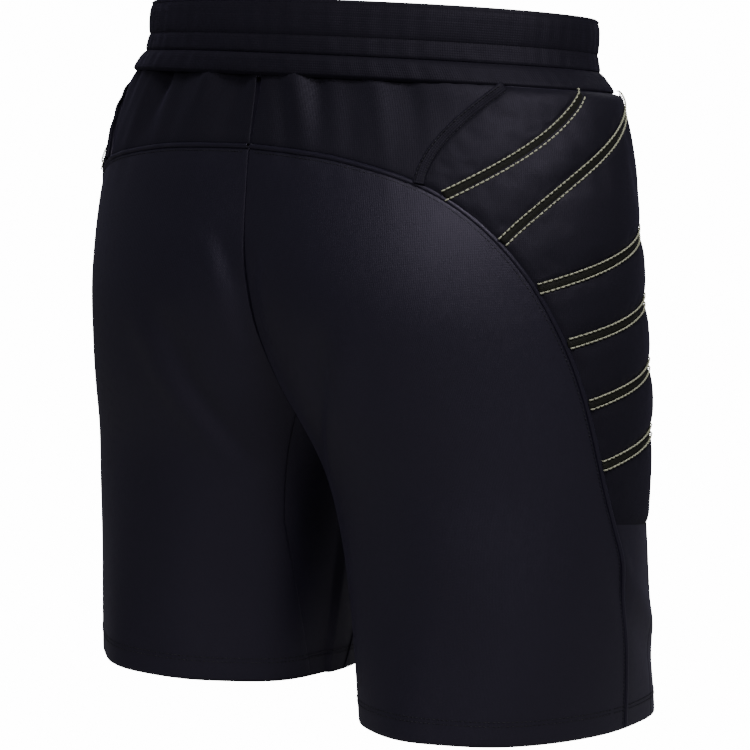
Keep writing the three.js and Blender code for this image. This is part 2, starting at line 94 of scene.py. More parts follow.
# The arched seam round the seat, as shares of the length and angles.
ARCH = np.array([
    (0.195, 99), (0.205, 75), (0.243, 52), (0.326, 33), (0.435, 20),
    (0.61, 9), (0.74, -1), (0.87, -6), (1, -9),
]) * (LENGTH, 1)
# Pad lines: start on the arch as a share of the length, rise in millimetres
# for each degree (none where the line ends at the waistband), the angle it
# ends at there, and how far its middle leans back, in degrees.
PAD_LINES = (
    (0.232, None, 32, 4.5), (0.245, None, 8.5, -3), (0.302, None, -30, 7),
    (0.36, 0.62, 0, 0), (0.433, 0.46, 0, 0), (0.517, 0.44, 0, 0),
    (0.604, 0.41, 0, 0), (0.69, -0.25, 0, 0),
)
CELLS = len(PAD_LINES) - 1
FRONT_SEAM = -30.0
GUSSET_TOP = CROTCH - 38
GUSSET_FOOT = 343.0
# Where the waistband is sewn through, and its rolls swell between.
BAND_SEAMS = (0, 20, 31.5, 44)


def smoothstep(x, low=0.0, high=1.0):
    t = np.clip((x - low) / (high - low), 0, 1)
    return t * t * (3 - 2 * t)


def bump(x, centre, width):
    return np.exp(-(((x - centre) / width) ** 2))


def block_value(column, depth):
    """A column of the block at any depth, as a smooth curve."""
    d, v = BLOCK[:, 0], BLOCK[:, column]
    chord = np.diff(v) / np.diff(d)
    knot = np.concatenate([chord[:1], (chord[:-1] + chord[1:]) / 2, chord[-1:]])
    i = np.clip(np.searchsorted(d, depth) - 1, 0, len(d) - 2)
    span = d[i + 1] - d[i]
    t = np.clip((depth - d[i]) / span, 0, 1)
    return (
        v[i] + (v[i + 1] - v[i]) * t * t * (3 - 2 * t)
        + span * (t * (1 - t) ** 2 * knot[i] - t * t * (1 - t) * knot[i + 1])
    )


def section(depth):
    half_width, split, half_depth, centre_y = (block_value(c, depth) for c in (1, 2, 3, 4))
    radius_x = half_width / (1 + split)
    return split * radius_x, centre_y, radius_x, half_depth


def skin(side, depth, angle, proud):
    """Points of the garment's skin, in metres. Angle 0 is the outer side, 90
    the back, 180 the inner thigh and -90 the front of one half."""
    depth, angle, proud = np.broadcast_arrays(*(np.asarray(x, float) for x in (depth, angle, proud)))
    centre_x, centre_y, radius_x, radius_y = section(depth)
    out_x = (radius_x + proud) * np.cos(np.radians(angle))
    out_y = (radius_y + proud) * np.sin(np.radians(angle))
    y = centre_y + out_y
    z = (
        -depth + 0.106 * y * np.maximum(0, 1 - depth / (0.83 * CROTCH))
        + (depth / LENGTH) ** 2 * (0.033 * out_x + 0.044 * out_y)
    )
    return np.stack([side * (centre_x + out_x), y, z], -1) * MM


def middle_angle(depth, gap=-0.1):
    """Angle at which a half meets the garment's middle."""
    centre_x, _, radius_x, _ = section(np.asarray(depth, float))
    return np.degrees(np.arccos(np.clip((gap - centre_x) / radius_x, -1, 1)))


MIDDLE_DEPTHS = np.linspace(TOP, CROTCH - 0.2, 800)
MIDDLE_ANGLES = middle_angle(MIDDLE_DEPTHS)


def arch(t):
    """Depth and angle of the arched seam, 0 at the back seam, 1 at the hem."""
    t = np.clip(np.asarray(t, float), 0, 1) * (len(ARCH) - 1)
    i = np.minimum(t.astype(int), len(ARCH) - 2)
    w = (t - i)[..., None]
    p0, p1, p2, p3 = (ARCH[np.clip(i + k, 0, len(ARCH) - 1)] for k in (-1, 0, 1, 2))
    v0, v1 = (p2 - p0) / 2, (p3 - p1) / 2
    return (2 * p1 - 2 * p2 + v0 + v1) * w**3 + (3 * p2 - 3 * p1 - 2 * v0 - v1) * w**2 + v0 * w + p1


ARCH_T = np.linspace(0, 1, 1601)


def arch_beside(t, distance):
    """The arched seam moved sideways; a positive distance is towards the seat."""
    t = np.asarray(t, float)
    a, b = arch(np.clip(t - 0.001, 0, 1)), arch(np.clip(t + 0.001, 0, 1))
    along = (b - a) * (1, MM_PER_DEGREE)
    along /= np.linalg.norm(along, axis=-1, keepdims=True)
    return arch(t) + np.stack([-along[..., 1], along[..., 0] / MM_PER_DEGREE], -1) * distance


def arch_angle(depth, distance=0.0):
    line = arch_beside(ARCH_T, distance)
    return np.interp(depth, line[:, 0], line[:, 1])


def arch_at(depth):
    return np.interp(depth, arch(ARCH_T)[:, 0], ARCH_T)


ARCH_CORNER = arch_at(PAD_LINES[0][0] * LENGTH)


def inner_line(depth):
    """Angle of a half's inner edge: the middle, then the gusset's seam, then
    the inseam panel's."""
    top = middle_angle(GUSSET_TOP)
    gusset = top + (150 - top) * (depth - GUSSET_TOP) / (GUSSET_FOOT - GUSSET_TOP)
    inseam = 150 + 21 * (depth - GUSSET_FOOT) / (LENGTH - GUSSET_FOOT)
    return np.where(depth <= GUSSET_TOP, middle_angle(depth), np.where(depth < GUSSET_FOOT, gusset, inseam))


def pad_place(q, w):
    """Depth and angle in the pad: q from the arch to the far border, w in
    cells down from the upper back edge. One cell past the last is the hem."""
    q, w = np.broadcast_arrays(np.asarray(q, float), np.asarray(w, float))
    starts = np.array([line[0] for line in PAD_LINES]) * LENGTH
    leans = np.array([line[3] for line in PAD_LINES], float)
    ends = np.array([
        (TOP, line[2]) if line[1] is None
        else (s - line[1] * (arch_angle(s) - FRONT_SEAM), FRONT_SEAM)
        for line, s in zip(PAD_LINES, starts)
    ])
    cells = np.arange(CELLS + 1)
    inside = np.minimum(w, CELLS)
    start = np.interp(inside, cells, starts)
    depth = start + q * (np.interp(inside, cells, ends[:, 0]) - start)
    below = np.clip(w - CELLS, 0, 1)
    first = arch_angle(start + below * (LENGTH - start), -0.2)
    angle = first + q * (np.interp(inside, cells, ends[:, 1]) - first)
    angle = angle + np.interp(inside, cells, leans) * 4 * q * (1 - q)
    return np.stack([depth + below * (LENGTH - depth), angle], -1)


def fall_in(depth):
    """How deep a yoke's fold is, from the waistband down to the arched seam."""
    return np.interp(depth, (40, 52, 80, 104), (0.5, 1.0, 0.85, 0.0))


def drape(side, depth, angle):
    """How far the cloth stands off its block, in millimetres."""
    depth, angle = np.broadcast_arrays(np.asarray(depth, float), np.asarray(angle, float))
    a = np.where(angle > 180, angle - 360, angle)
    s = a * MM_PER_DEGREE
    turn = 1.0 if side > 0 else 0.0
    # Gathers where the cloth is eased into the waistband.
    pleat = (
        0.55 * np.sin(s / 3.1 + 1.1 * turn) * (0.6 + 0.4 * np.sin(s / 11 + turn))
        + 0.6 * np.sin(s / 6.3 + 0.6 + 2.1 * turn)
        + 0.5 * np.sin(s / 13 + 2.0 - 1.4 * turn)
    )
    back = smoothstep(a, 42, 62)
    front = smoothstep(-a, 34, 60)
    fall = np.exp(-(((depth - BAND) / (34 + 12 * np.sin(s / 17 + turn))) ** 2))
    narrow = np.sin(s / 1.75 + 0.4 * np.sin(s / 9)) * bump(a, 60, 26) * (0.45 + 0.55 * turn)
    off = pleat * fall * (3.0 * back + 1.8 * front) + 1.1 * narrow * fall
    # The cloth stands out just under the waistband; on the left it then lies close.
    off += 2.4 * bump(depth, BAND + 3, 13) * (1 - 0.8 * turn) * (1 - back)
    off -= 3.6 * turn * bump(depth, 108, 50) * bump(a, 14, 34)
    for angle_of, wide, deep, half in (
        (68.5, 2.6, 3.2, 1), (75, 2.0, 1.8, 1), (90, 4.0, 3.0, 1), (58, 2.2, 2.0, 1),
        (87.5, 2.0, 2.2, -1), (79.5, 1.8, 1.6, -1), (71, 3.0, 1.4, -1),
    ):
        off -= (half == side) * deep * bump(a, angle_of + (depth - 70) * 0.06, wide) * fall_in(depth)
    # The fold where the seat turns into the inner thigh.
    crease = np.interp(depth, (195, 207, 226, 246, 267, 300), (86, 89, 94, 101, 111, 128))
    away = (a - crease) * MM_PER_DEGREE
    near = smoothstep(depth, 190, 222) * (1 - smoothstep(depth, 262, 330))
    off += near * (2.2 * bump(away, -9, 11) - 3.4 * bump(away, 9, 9))
    # Short folds where the cloth is drawn into the cleft, deeper on the left.
    for first, last, (a0, a1), depth_of in ((142, 214, (99, 118), 2.0), (166, 196, (108, 116), 1.3)):
        line = np.interp(depth, (first, last), (a0, a1))
        gap = (a - line) * MM_PER_DEGREE
        on = smoothstep(depth, first - 6, first + 18) * (1 - smoothstep(depth, last - 14, last + 8))
        off += (0.45 + 0.55 * turn) * depth_of * on * (0.5 * bump(gap, -7, 6) - bump(gap, 2, 5))
    # The seat's cloth sinks along the middle.
    middle = (middle_angle(np.minimum(depth, CROTCH)) - np.abs(a)) * MM_PER_DEGREE
    off -= 1.6 * bump(middle, 0, 20) * bump(depth, 175, 70) * (a > 0)
    # Soft folds in the legs.
    leg = smoothstep(depth, 270, 400)
    off += 1.7 * smoothstep(depth, 285, 345) * smoothstep(np.abs(a - 15), 100, 60)
    off += leg * (
        1.5 * np.sin(s / 21 + 0.9 + 1.7 * turn + depth / 130)
        + 0.8 * np.sin(s / 12.5 - depth / 90 + turn)
    ) * (0.35 + 0.65 * smoothstep(np.abs(a - 20), 10, 70))
    # A low fold that leaves the pad's corner towards the front seam.
    low = np.interp(a, (-40, -27, -9, -1, 8), (400, 386, 361, 341, 325))
    reach = smoothstep(-a, -7, 3) * smoothstep(a, -48, -32)
    off += reach * (1.8 * bump(depth, low, 12) - 1.5 * bump(depth, low + 24, 16))
    # Broad unevenness.
    broad = np.sin(s / 38 + depth / 61 + 2.2 * turn) * np.sin(depth / 47 + turn)
    off += 0.8 * broad * smoothstep(depth, 60, 150)
    return off


def cloth(side, place, proud):
    """Points of draped cloth at places given as depth and angle."""
    depth, angle = place[..., 0], place[..., 1]
    # On the left the top of the side is drawn towards the front.
    drawn = 19 * bump(angle, 38, 31) * (1 - smoothstep(depth, 150, 290)) * (side > 0)
    return skin(side, depth, angle - drawn, proud + drape(side, depth, angle))


def shares(length, step, first=True, last=True):
    """Places from 0 to 1 with some close together at a sewn edge."""
    head = [0, 0.3, 1.2, 2.6] if first else [0]
    tail = [0, 0.3, 1.2, 2.6] if last else [0]
    low, high = head[-1], length - tail[-1]
    count = max(2, round((high - low) / step))
    middle = np.linspace(low, high, count + 1)
    return np.concatenate([head[:-1], middle, length - np.array(tail[:-1][::-1])]) / length


def fill(top, bottom, left, right, us, vs):
    """Depths and angles between four edge lines; top and bottom run with us,
    left and right with vs."""
    u, v = us[:, None, None], vs[None, :, None]
    t, b, l, r = top(us)[:, None], bottom(us)[:, None], left(vs)[None], right(vs)[None]
    corners = (
        (1 - u) * (1 - v) * t[:1] + u * (1 - v) * t[-1:]
        + (1 - u) * v * b[:1] + u * v * b[-1:]
    )
    return (1 - u) * l + u * r + (1 - v) * t + v * b - corners


def edge_distance(points, sewn):
    """Millimetres from each point of a grid to its nearest sewn edge. sewn
    names the edges: left and right end the first axis, top and bottom the second."""
    far = np.full(points.shape[:2], 1e3)
    for axis, names in ((0, ("left", "right")), (1, ("top", "bottom"))):
        step = np.linalg.norm(np.diff(points, axis=axis), axis=2) / MM
        zero = np.zeros_like(points[:1, :, 0] if axis == 0 else points[:, :1, 0])
        run = np.concatenate([zero, np.cumsum(step, axis)], axis)
        total = run[-1:, :] if axis == 0 else run[:, -1:]
        if names[0] in sewn:
            far = np.minimum(far, run)
        if names[1] in sewn:
            far = np.minimum(far, total - run)
    return far


def tuck(distance):
    """How the cloth turns in at a seam, in millimetres."""
    return np.interp(distance, (0, 0.35, 1.3, 2.8, 5), (-3.0, -1.15, -0.42, -0.1, 0))


def grid_object(name, points, places, finish, thickness, seam=None, ring=False):
    """A cloth piece from a grid of points, with its weave along the grain."""
    m, n = points.shape[:2]
    index = np.arange(m * n).reshape(m, n)
    if ring:
        index = np.concatenate([index, index[:1]])
    quads = np.stack([index[:-1, :-1], index[1:, :-1], index[1:, 1:], index[:-1, 1:]], -1).reshape(-1, 4)
    flat = points.reshape(-1, 3)
    middle = quads[len(quads) // 2]
    corner = flat[middle]
    normal = np.cross(corner[2] - corner[0], corner[3] - corner[1])
    centre = corner.mean(0)
    out = centre - (np.sign(centre[0]) * 0.09, 0, centre[2])
    if np.dot(normal, out) < 0:
        quads = quads[:, ::-1]
    mesh = bpy.data.meshes.new(name)
    mesh.from_pydata(flat.tolist(), [], quads.tolist())
    grain = mesh.uv_layers.new(name="grain")
    uv = np.stack([places[..., 1] * MM_PER_DEGREE, -places[..., 0]], -1).reshape(-1, 2) * MM
    loops = np.zeros(len(mesh.loops), np.int32)
    mesh.loops.foreach_get("vertex_index", loops)
    grain.data.foreach_set("uv", uv[loops].astype(np.float32).ravel())
    # The seam value, near 1 by a sewn edge, is used to paint shade into the colour there.
    near = mesh.attributes.new("seam", "FLOAT", "POINT")
    value = np.zeros(m * n) if seam is None else np.exp(-seam.reshape(-1) / 3)
    near.data.foreach_set("value", value.astype(np.float32))
    mesh.shade_smooth()
    obj = bpy.data.objects.new(name, mesh)
    bpy.context.scene.collection.objects.link(obj)
    if thickness:
        wall = obj.modifiers.new("wall", "SOLIDIFY")
        wall.thickness = thickness
        wall.offset = -1
        wall.use_even_offset = False
        apply_modifier(obj, "wall")
    mesh.materials.clear()
    obj.data.materials.append(material(finish))
    return obj


def apply_modifier(obj, name):
    bpy.ops.object.select_all(action="DESELECT")
    bpy.context.view_layer.objects.active = obj
    obj.select_set(True)
    bpy.ops.object.modifier_apply(modifier=name)
    obj.select_set(False)


def hang(obj):
    """Bakes the piece's placement into its mesh."""
    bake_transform(obj)


# ---------------------------------------------------------------- materials


def node(tree, kind, values=None, **settings):
    """A node with its settings, and its inputs set or linked."""
    made = tree.nodes.new(kind)
    for key, value in settings.items():
        setattr(made, key, value)
    for key, value in (values or {}).items():
        socket = made.inputs[key]
        if isinstance(value, bpy.types.NodeSocket):
            tree.links.new(value, socket)
        else:
            socket.default_value = value
    return made


def calc(tree, operation, *values):
    made = node(tree, "ShaderNodeMath", dict(enumerate(values)), operation=operation)
    return made.outputs[0]


def start_group(name, inputs, outputs):
    group = bpy.data.node_groups.new(name, "ShaderNodeTree")
    for label, kind, value in inputs:
        socket = group.interface.new_socket(label, in_out="INPUT", socket_type=kind)
        if value is not None:
            socket.default_value = value
    for label, kind in outputs:
        group.interface.new_socket(label, in_out="OUTPUT", socket_type=kind)
    return group, node(group, "NodeGroupInput").outputs, node(group, "NodeGroupOutput").inputs


def knit_group():
    """Rows of interlocked loops, with a height and a mask of the gaps."""
    if "knit loops" in bpy.data.node_groups:
        return bpy.data.node_groups["knit loops"]
    group, into, out = start_group(
        "knit loops",
        [
            ("Grain", "NodeSocketVector", None),
            ("Pitch", "NodeSocketFloat", 0.0011),
            ("Slant", "NodeSocketFloat", 0.5),
        ],
        [("Height", "NodeSocketFloat"), ("Gap", "NodeSocketFloat")],
    )
    split = node(group, "ShaderNodeSeparateXYZ", {0: into["Grain"]})
    u = calc(group, "DIVIDE", split.outputs[0], into["Pitch"])
    v = calc(group, "DIVIDE", split.outputs[1], into["Pitch"])
    lean = calc(group, "MULTIPLY", calc(group, "PINGPONG", u, 0.5), into["Slant"])
    wale = calc(group, "ABSOLUTE", calc(group, "SINE", calc(group, "MULTIPLY", u, math.pi)))
    turn = calc(group, "MULTIPLY", calc(group, "ADD", v, calc(group, "MULTIPLY", lean, 2.0)), math.pi)
    course = calc(group, "ABSOLUTE", calc(group, "SINE", turn))
    row = calc(group, "ADD", calc(group, "MULTIPLY", course, 0.55), 0.45)
    loops = calc(group, "MULTIPLY", calc(group, "POWER", wale, 0.6), row)
    group.links.new(loops, out["Height"])
    group.links.new(calc(group, "SUBTRACT", 1.0, calc(group, "POWER", loops, 0.5)), out["Gap"])
    return group


def tone_and_seam_shade_group():
    """Uneven tone and grit, painted shade that darkens the colour along seams, and rubbed lint spots made
    rougher.
    """
    if "use and wear" in bpy.data.node_groups:
        return bpy.data.node_groups["use and wear"]
    group, into, out = start_group(
        "use and wear",
        [
            ("Place", "NodeSocketVector", None),
            ("Seam", "NodeSocketFloat", 0.0),
            ("Tone", "NodeSocketFloat", 0.2),
        ],
        [("Shade", "NodeSocketFloat"), ("Rub", "NodeSocketFloat"), ("Relief", "NodeSocketFloat")],
    )

    def noise(scale, detail, roughness=0.5):
        values = {"Vector": into["Place"], "Scale": scale, "Detail": detail, "Roughness": roughness}
        return node(group, "ShaderNodeTexNoise", values)

    broad, fine, lint = noise(14.0, 3.0, 0.55), noise(620.0, 2.0), noise(210.0, 4.0, 0.7)
    tone = calc(group, "MULTIPLY", calc(group, "SUBTRACT", broad.outputs[0], 0.5), into["Tone"])
    strong = calc(group, "MULTIPLY", into["Tone"], 1.2)
    grit = calc(group, "MULTIPLY", calc(group, "SUBTRACT", fine.outputs[0], 0.5), strong)
    shade = calc(group, "ADD", calc(group, "ADD", tone, grit), 1.0)
    # Painted shade: the colour is darkened near seams, where the cloth turns into the seam's hollow.
    shade = calc(group, "SUBTRACT", shade, calc(group, "MULTIPLY", into["Seam"], 0.25))
    group.links.new(shade, out["Shade"])
    rub = calc(group, "MULTIPLY", calc(group, "SUBTRACT", lint.outputs[0], 0.45), 2.0)
    group.links.new(calc(group, "MAXIMUM", rub, 0.0), out["Rub"])
    low, high = (calc(group, "MULTIPLY", n.outputs[0], part) for n, part in ((lint, 0.4), (fine, 0.6)))
    group.links.new(calc(group, "ADD", high, low), out["Relief"])
    return group


# colour key, roughness, sheen, knit pitch in mm, knit relief in mm, tone, specular
FINISHES = {
    "knit": ("knit", 0.43, 0.06, 1.0, 0.08, 0.3, 0.75),
    "pad knit": ("pad_knit", 0.6, 0.05, 1.1, 0.10, 0.3, 0.3),
    "rib": ("rib", 0.66, 0.05, 1.5, 0.22, 0.3, 0.28),
    "lining": ("rib", 0.75, 0.05, 1.2, 0.12, 0.3, 0.3),
    "piping": ("knit", 0.42, 0.08, 0.8, 0.08, 0.3, 0.6),
    "tape": ("tape", 0.7, 0.02, 0.9, 0.16, 0.3, 0.35),
    "elastic": ("elastic", 0.8, 0.03, 1.6, 0.25, 0.3, 0.3),
}


def shaded(tree, colour, shade):
    """A colour made lighter and darker by a value."""
    grey = node(tree, "ShaderNodeCombineColor", {0: shade, 1: shade, 2: shade}).outputs[0]
    values = {0: 1.0, 6: (*colour, 1.0), 7: grey}
    return node(tree, "ShaderNodeMix", values, data_type="RGBA", blend_type="MULTIPLY").outputs[2]


def relief_of(tree, height, distance, strength=1.0, **values):
    values.update(Height=height, Distance=distance * MM, Strength=strength)
    return node(tree, "ShaderNodeBump", values).outputs[0]


def tone_and_seam_shade(tree, values):
    return node(tree, "ShaderNodeGroup", values, node_tree=tone_and_seam_shade_group())


def material(finish):
    """A finish by its own name, made once and then reused."""
    name = "shorts " + finish
    if name in bpy.data.materials:
        return bpy.data.materials[name]
    looks = bpy.context.scene.shorts_looks
    made = bpy.data.materials.new(name)
    made.use_nodes = True
    tree = made.node_tree
    tree.nodes.clear()
    result = node(tree, "ShaderNodeOutputMaterial")
    skin_node = node(tree, "ShaderNodeBsdfPrincipled")
    tree.links.new(skin_node.outputs[0], result.inputs[0])
    place = node(tree, "ShaderNodeTexCoord").outputs["Object"]
    if finish in FINISHES:
        key, rough, sheen, pitch, relief, tone, specular = FINISHES[finish]
        colour = tuple(getattr(looks, key))
        grain = node(tree, "ShaderNodeUVMap", uv_map="grain").outputs[0]
        # Painted shade: the seam value darkens the colour along the seams' hollows.
        seam = node(tree, "ShaderNodeAttribute", attribute_name="seam").outputs["Fac"]
        knit = node(tree, "ShaderNodeGroup", node_tree=knit_group())
        tree.links.new(grain, knit.inputs["Grain"])
        knit.inputs["Pitch"].default_value = pitch * MM
        knit.inputs["Slant"].default_value = 0.0 if finish in ("rib", "elastic") else 0.5
        wear_and_shade = tone_and_seam_shade(tree, {"Place": place, "Seam": seam, "Tone": tone})
        # Painted shade: the gaps between the knit's loops are darkened.
        dark = calc(tree, "SUBTRACT", 1.0, calc(tree, "MULTIPLY", knit.outputs["Gap"], 0.35))
        shade = calc(tree, "MULTIPLY", wear_and_shade.outputs["Shade"], dark)
        tree.links.new(shaded(tree, colour, shade), skin_node.inputs["Base Color"])
        gloss = calc(tree, "ADD", rough - 0.03, calc(tree, "MULTIPLY", wear_and_shade.outputs["Rub"], 0.12))
        gloss = calc(tree, "ADD", gloss, calc(tree, "MULTIPLY", knit.outputs["Gap"], 0.1))
        tree.links.new(gloss, skin_node.inputs["Roughness"])
        skin_node.inputs["Specular IOR Level"].default_value = specular
        skin_node.inputs["Sheen Weight"].default_value = sheen
        skin_node.inputs["Sheen Roughness"].default_value = 0.45
        skin_node.inputs["Sheen Tint"].default_value = (0.6, 0.54, 0.95, 1)
        skin_node.inputs["Specular Tint"].default_value = (0.85, 0.78, 1.0, 1)
        loops = relief_of(tree, knit.outputs["Height"], relief, 0.8)
        nap = relief_of(tree, wear_and_shade.outputs["Relief"], 0.12, 0.6, Normal=loops)
        tree.links.new(nap, skin_node.inputs["Normal"])
    elif finish in ("thread", "dark thread"):
        colour = tuple(looks.thread if finish == "thread" else looks.dark_thread)
        values = {"Vector": place, "Scale": 520.0, "Distortion": 1.5}
        ply = node(tree, "ShaderNodeTexWave", values, wave_type="BANDS", bands_direction="DIAGONAL")
        wear_and_shade = tone_and_seam_shade(tree, {"Place": place, "Tone": 0.25})
        strands = calc(tree, "ADD", 0.8, calc(tree, "MULTIPLY", ply.outputs["Fac"], 0.25))
        shade = calc(tree, "MULTIPLY", wear_and_shade.outputs["Shade"], strands)
        tree.links.new(shaded(tree, colour, shade), skin_node.inputs["Base Color"])
        skin_node.inputs["Roughness"].default_value = 0.55
        tree.links.new(relief_of(tree, ply.outputs["Fac"], 0.1, 0.6), skin_node.inputs["Normal"])
    elif finish == "foam":
        cells = node(tree, "ShaderNodeTexVoronoi", {"Vector": place, "Scale": 900.0})
        values = {0: cells.outputs["Distance"], 6: (*looks.foam, 1.0), 7: (0.02, 0.02, 0.022, 1)}
        tint = node(tree, "ShaderNodeMix", values, data_type="RGBA")
        tree.links.new(tint.outputs[2], skin_node.inputs["Base Color"])
        skin_node.inputs["Roughness"].default_value = 0.9
        tree.links.new(relief_of(tree, cells.outputs["Distance"], 0.4), skin_node.inputs["Normal"])
    else:
        grain = node(tree, "ShaderNodeTexNoise", {"Vector": place, "Scale": 3.0, "Detail": 2.0})
        darker = tuple(0.97 * c for c in looks.floor)
        values = {0: grain.outputs[0], 6: (*looks.floor, 1.0), 7: (*darker, 1.0)}
        tint = node(tree, "ShaderNodeMix", values, data_type="RGBA")
        tree.links.new(tint.outputs[2], skin_node.inputs["Base Color"])
        skin_node.inputs["Roughness"].default_value = 0.9
        skin_node.inputs["Specular IOR Level"].default_value = 0.1
        glow = node(tree, "ShaderNodeEmission", {"Color": (1, 1, 1, 1), "Strength": 15.0})
        ray = node(tree, "ShaderNodeLightPath")
        both = node(tree, "ShaderNodeAddShader", {0: skin_node.outputs[0], 1: glow.outputs[0]})
        values = {0: ray.outputs["Is Camera Ray"], 1: skin_node.outputs[0], 2: both.outputs[0]}
        mix = node(tree, "ShaderNodeMixShader", values)
        tree.links.new(mix.outputs[0], result.inputs[0])
    return made


# ------------------------------------------------------------------- pieces


def sew_panel(name, node_names, side, place, sewn, finish="knit",
              low=0.0, turn_up=False, thickness=None,
              soft=(), soft_depth=0.09):
    """A cloth panel over a grid of places, tucked in at its sewn edges."""
    sizes = bpy.context.scene.shorts_sizes
    thickness = sizes.cloth if thickness is None else thickness
    first = cloth(side, place, low)
    away = edge_distance(first, sewn)
    plain = edge_distance(first, soft)
    if "band" in sewn:
        away = np.where(place[..., 0] < TOP + 3, 1e3, away)
    faint = 1 - 0.75 * smoothstep(place[..., 0], 0.74 * LENGTH, 0.82 * LENGTH)
    proud = low + np.minimum(tuck(away) * faint, soft_depth * tuck(plain))
    away = np.minimum(away, 2 + plain)
    if "band" in sewn:
        under = 1 - smoothstep(place[..., 0], TOP - 1.5, TOP + 3.5)
        proud = proud - 0.9 * under
    if turn_up:
        rise = LENGTH - place[..., 0]
        proud = proud + np.interp(rise, (0, 0.5, 1.6, 3.2), (-1.7, -0.55, -0.1, 0))
    points = cloth(side, place, proud)
    # The seam distance goes to the material, which paints shade along the seams.
    obj = grid_object(name, points, place, finish, thickness, seam=away)
    hang(obj)
    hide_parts(*node_names)
    return obj


def line_of(depth, angle):
    return np.stack(np.broadcast_arrays(depth, angle), -1).astype(float)


def lerp(a, b, t):
    return a + (b - a) * t


def back_panel_places():
    corner_t = arch_at(0.285 * LENGTH)
    us, vs = shares(210, 3.2), shares(345, 3.2, last=False)
    fold = np.array([0, 0.0015, 0.0045, 0.009])
    vs = np.unique(np.concatenate([vs[vs < 0.985], 1 - fold]))

    def top(u):
        place = arch_beside(corner_t * u, 0.2)
        place[..., 1] = np.minimum(place[..., 1], middle_angle(place[..., 0]))
        return place

    first, corner = top(us)[0], top(us)[-1]
    left = lambda v: line_of(lerp(first[0], LENGTH, v), inner_line(lerp(first[0], LENGTH, v)))
    right = lambda v: line_of(lerp(corner[0], LENGTH, v), arch_angle(lerp(corner[0], LENGTH, v), 0.2))
    bottom = lambda u: line_of(LENGTH, lerp(left(np.array([1.0]))[0, 1], right(np.array([1.0]))[0, 1], u))
    return fill(top, bottom, left, right, us, vs)


def front_panel_places():
    us, vs = shares(190, 4), shares(415, 4, first=False, last=False)
    fold = np.array([0, 0.0015, 0.004, 0.008])
    vs = np.unique(np.concatenate([vs[vs < 0.985], 1 - fold]))
    start = TOP - 2.4
    left = lambda v: line_of(lerp(start, LENGTH, v), FRONT_SEAM + 0.35)
    right = lambda v: line_of(lerp(start, LENGTH, v), -inner_line(lerp(start, LENGTH, v)))
    top = lambda u: line_of(start, lerp(FRONT_SEAM + 0.35, -inner_line(start), u))
    bottom = lambda u: line_of(LENGTH, lerp(FRONT_SEAM + 0.35, -inner_line(LENGTH), u))
    return fill(top, bottom, left, right, us, vs)


def pad_edge(depth, foot):
    """The yoke's edge along the pad's upper back edge."""
    line = pad_place(np.linspace(0, 1, 60), 0.0)
    angle = np.interp(depth, line[::-1, 0], line[::-1, 1]) + 0.1
    return line_of(depth, np.minimum(angle, foot[1]))


def yoke_places():
    us, vs = shares(120, 3), shares(52, 2.8, first=False)
    start = TOP - 2.4
    foot = arch_beside(ARCH_CORNER, -0.2)
    edge = lambda v: pad_edge(lerp(start, foot[0], v), foot)

    def bottom(u):
        place = arch_beside(ARCH_CORNER * u, -0.2)
        place[..., 1] = np.minimum(place[..., 1], middle_angle(place[..., 0]))
        return place

    low = bottom(np.array([0.0]))[0, 0]
    left = lambda v: line_of(lerp(start, low, v), middle_angle(lerp(start, low, v)))
    top = lambda u: line_of(start, lerp(middle_angle(start), pad_edge(np.array([start]), foot)[0, 1], u))
    return fill(top, bottom, left, edge, us, vs)


def gusset_places():
    us, vs = shares(60, 2.6), shares(215, 3.6, first=True, last=False)
    fold = np.array([0, 0.003, 0.008, 0.015])
    vs = np.unique(np.concatenate([vs[vs < 0.97], 1 - fold]))
    first = float(middle_angle(GUSSET_TOP)) - 0.7

    def top(u):
        angle = lerp(first, 360 - first, u)
        folded = np.where(angle > 180, 360 - angle, angle)
        return line_of(np.interp(folded, MIDDLE_ANGLES, MIDDLE_DEPTHS), angle)

    seam = lambda v: (lerp(GUSSET_TOP, LENGTH, v), inner_line(lerp(GUSSET_TOP, LENGTH, v)) - 0.7)
    left = lambda v: line_of(*seam(v))
    right = lambda v: line_of(seam(v)[0], 360 - seam(v)[1])
    bottom = lambda u: line_of(LENGTH, lerp(seam(1.0)[1], 360 - seam(1.0)[1], u))
    return fill(top, bottom, left, right, us, vs)


def side_places():
    qs = shares(100, 4)
    ws = np.concatenate([np.linspace(0, CELLS, 57)[:-1], CELLS + shares(150, 3.4, first=False, last=False)])
    ws = np.unique(np.concatenate([ws[ws < CELLS + 0.98], CELLS + 1 - np.array([0, 0.005, 0.012, 0.022])]))
    place = pad_place(qs[:, None], ws[None, :])
    place[..., 0] -= 2.4 * (1 - smoothstep(place[..., 0], TOP, TOP + 5))
    return place


# Rows across the pad: positions in cells, close together by the channels.
def pad_rows(step=2.6):
    rows = [0.0]
    for k in range(CELLS):
        width = max(cell_width(k), 14)
        mm = [0.8, 1.9, 3.1, 4.0, 5.0, 6.2, 7.8]
        near = [x for x in mm if x < 0.42 * width]
        inner = np.linspace(near[-1], width - near[-1], max(3, round((width - 2 * near[-1]) / step)))
        cuts = near[:-1] + list(inner) + [width - x for x in near[:-1][::-1]] + [width]
        rows += [k + c / width for c in cuts]
    return np.array(rows)


def cell_width(k, q=0.5):
    a, b = (skin(1, *pad_place(q, w), 0) for w in (k, k + 1))
    along = skin(1, *pad_place(q + 0.02, k + 0.5), 0) - skin(1, *pad_place(q - 0.02, k + 0.5), 0)
    along /= np.linalg.norm(along)
    gap = b - a
    return float(np.linalg.norm(gap - along * np.dot(gap, along)) / MM)


def on_block(place):
    return skin(1, place[..., 0], place[..., 1], 0)


def rounded(x):
    """Rises from 0 to 1 like a soft shoulder."""
    return np.sqrt(np.clip(1 - (1 - np.clip(x, 0, 1)) ** 2.1, 0, 1))


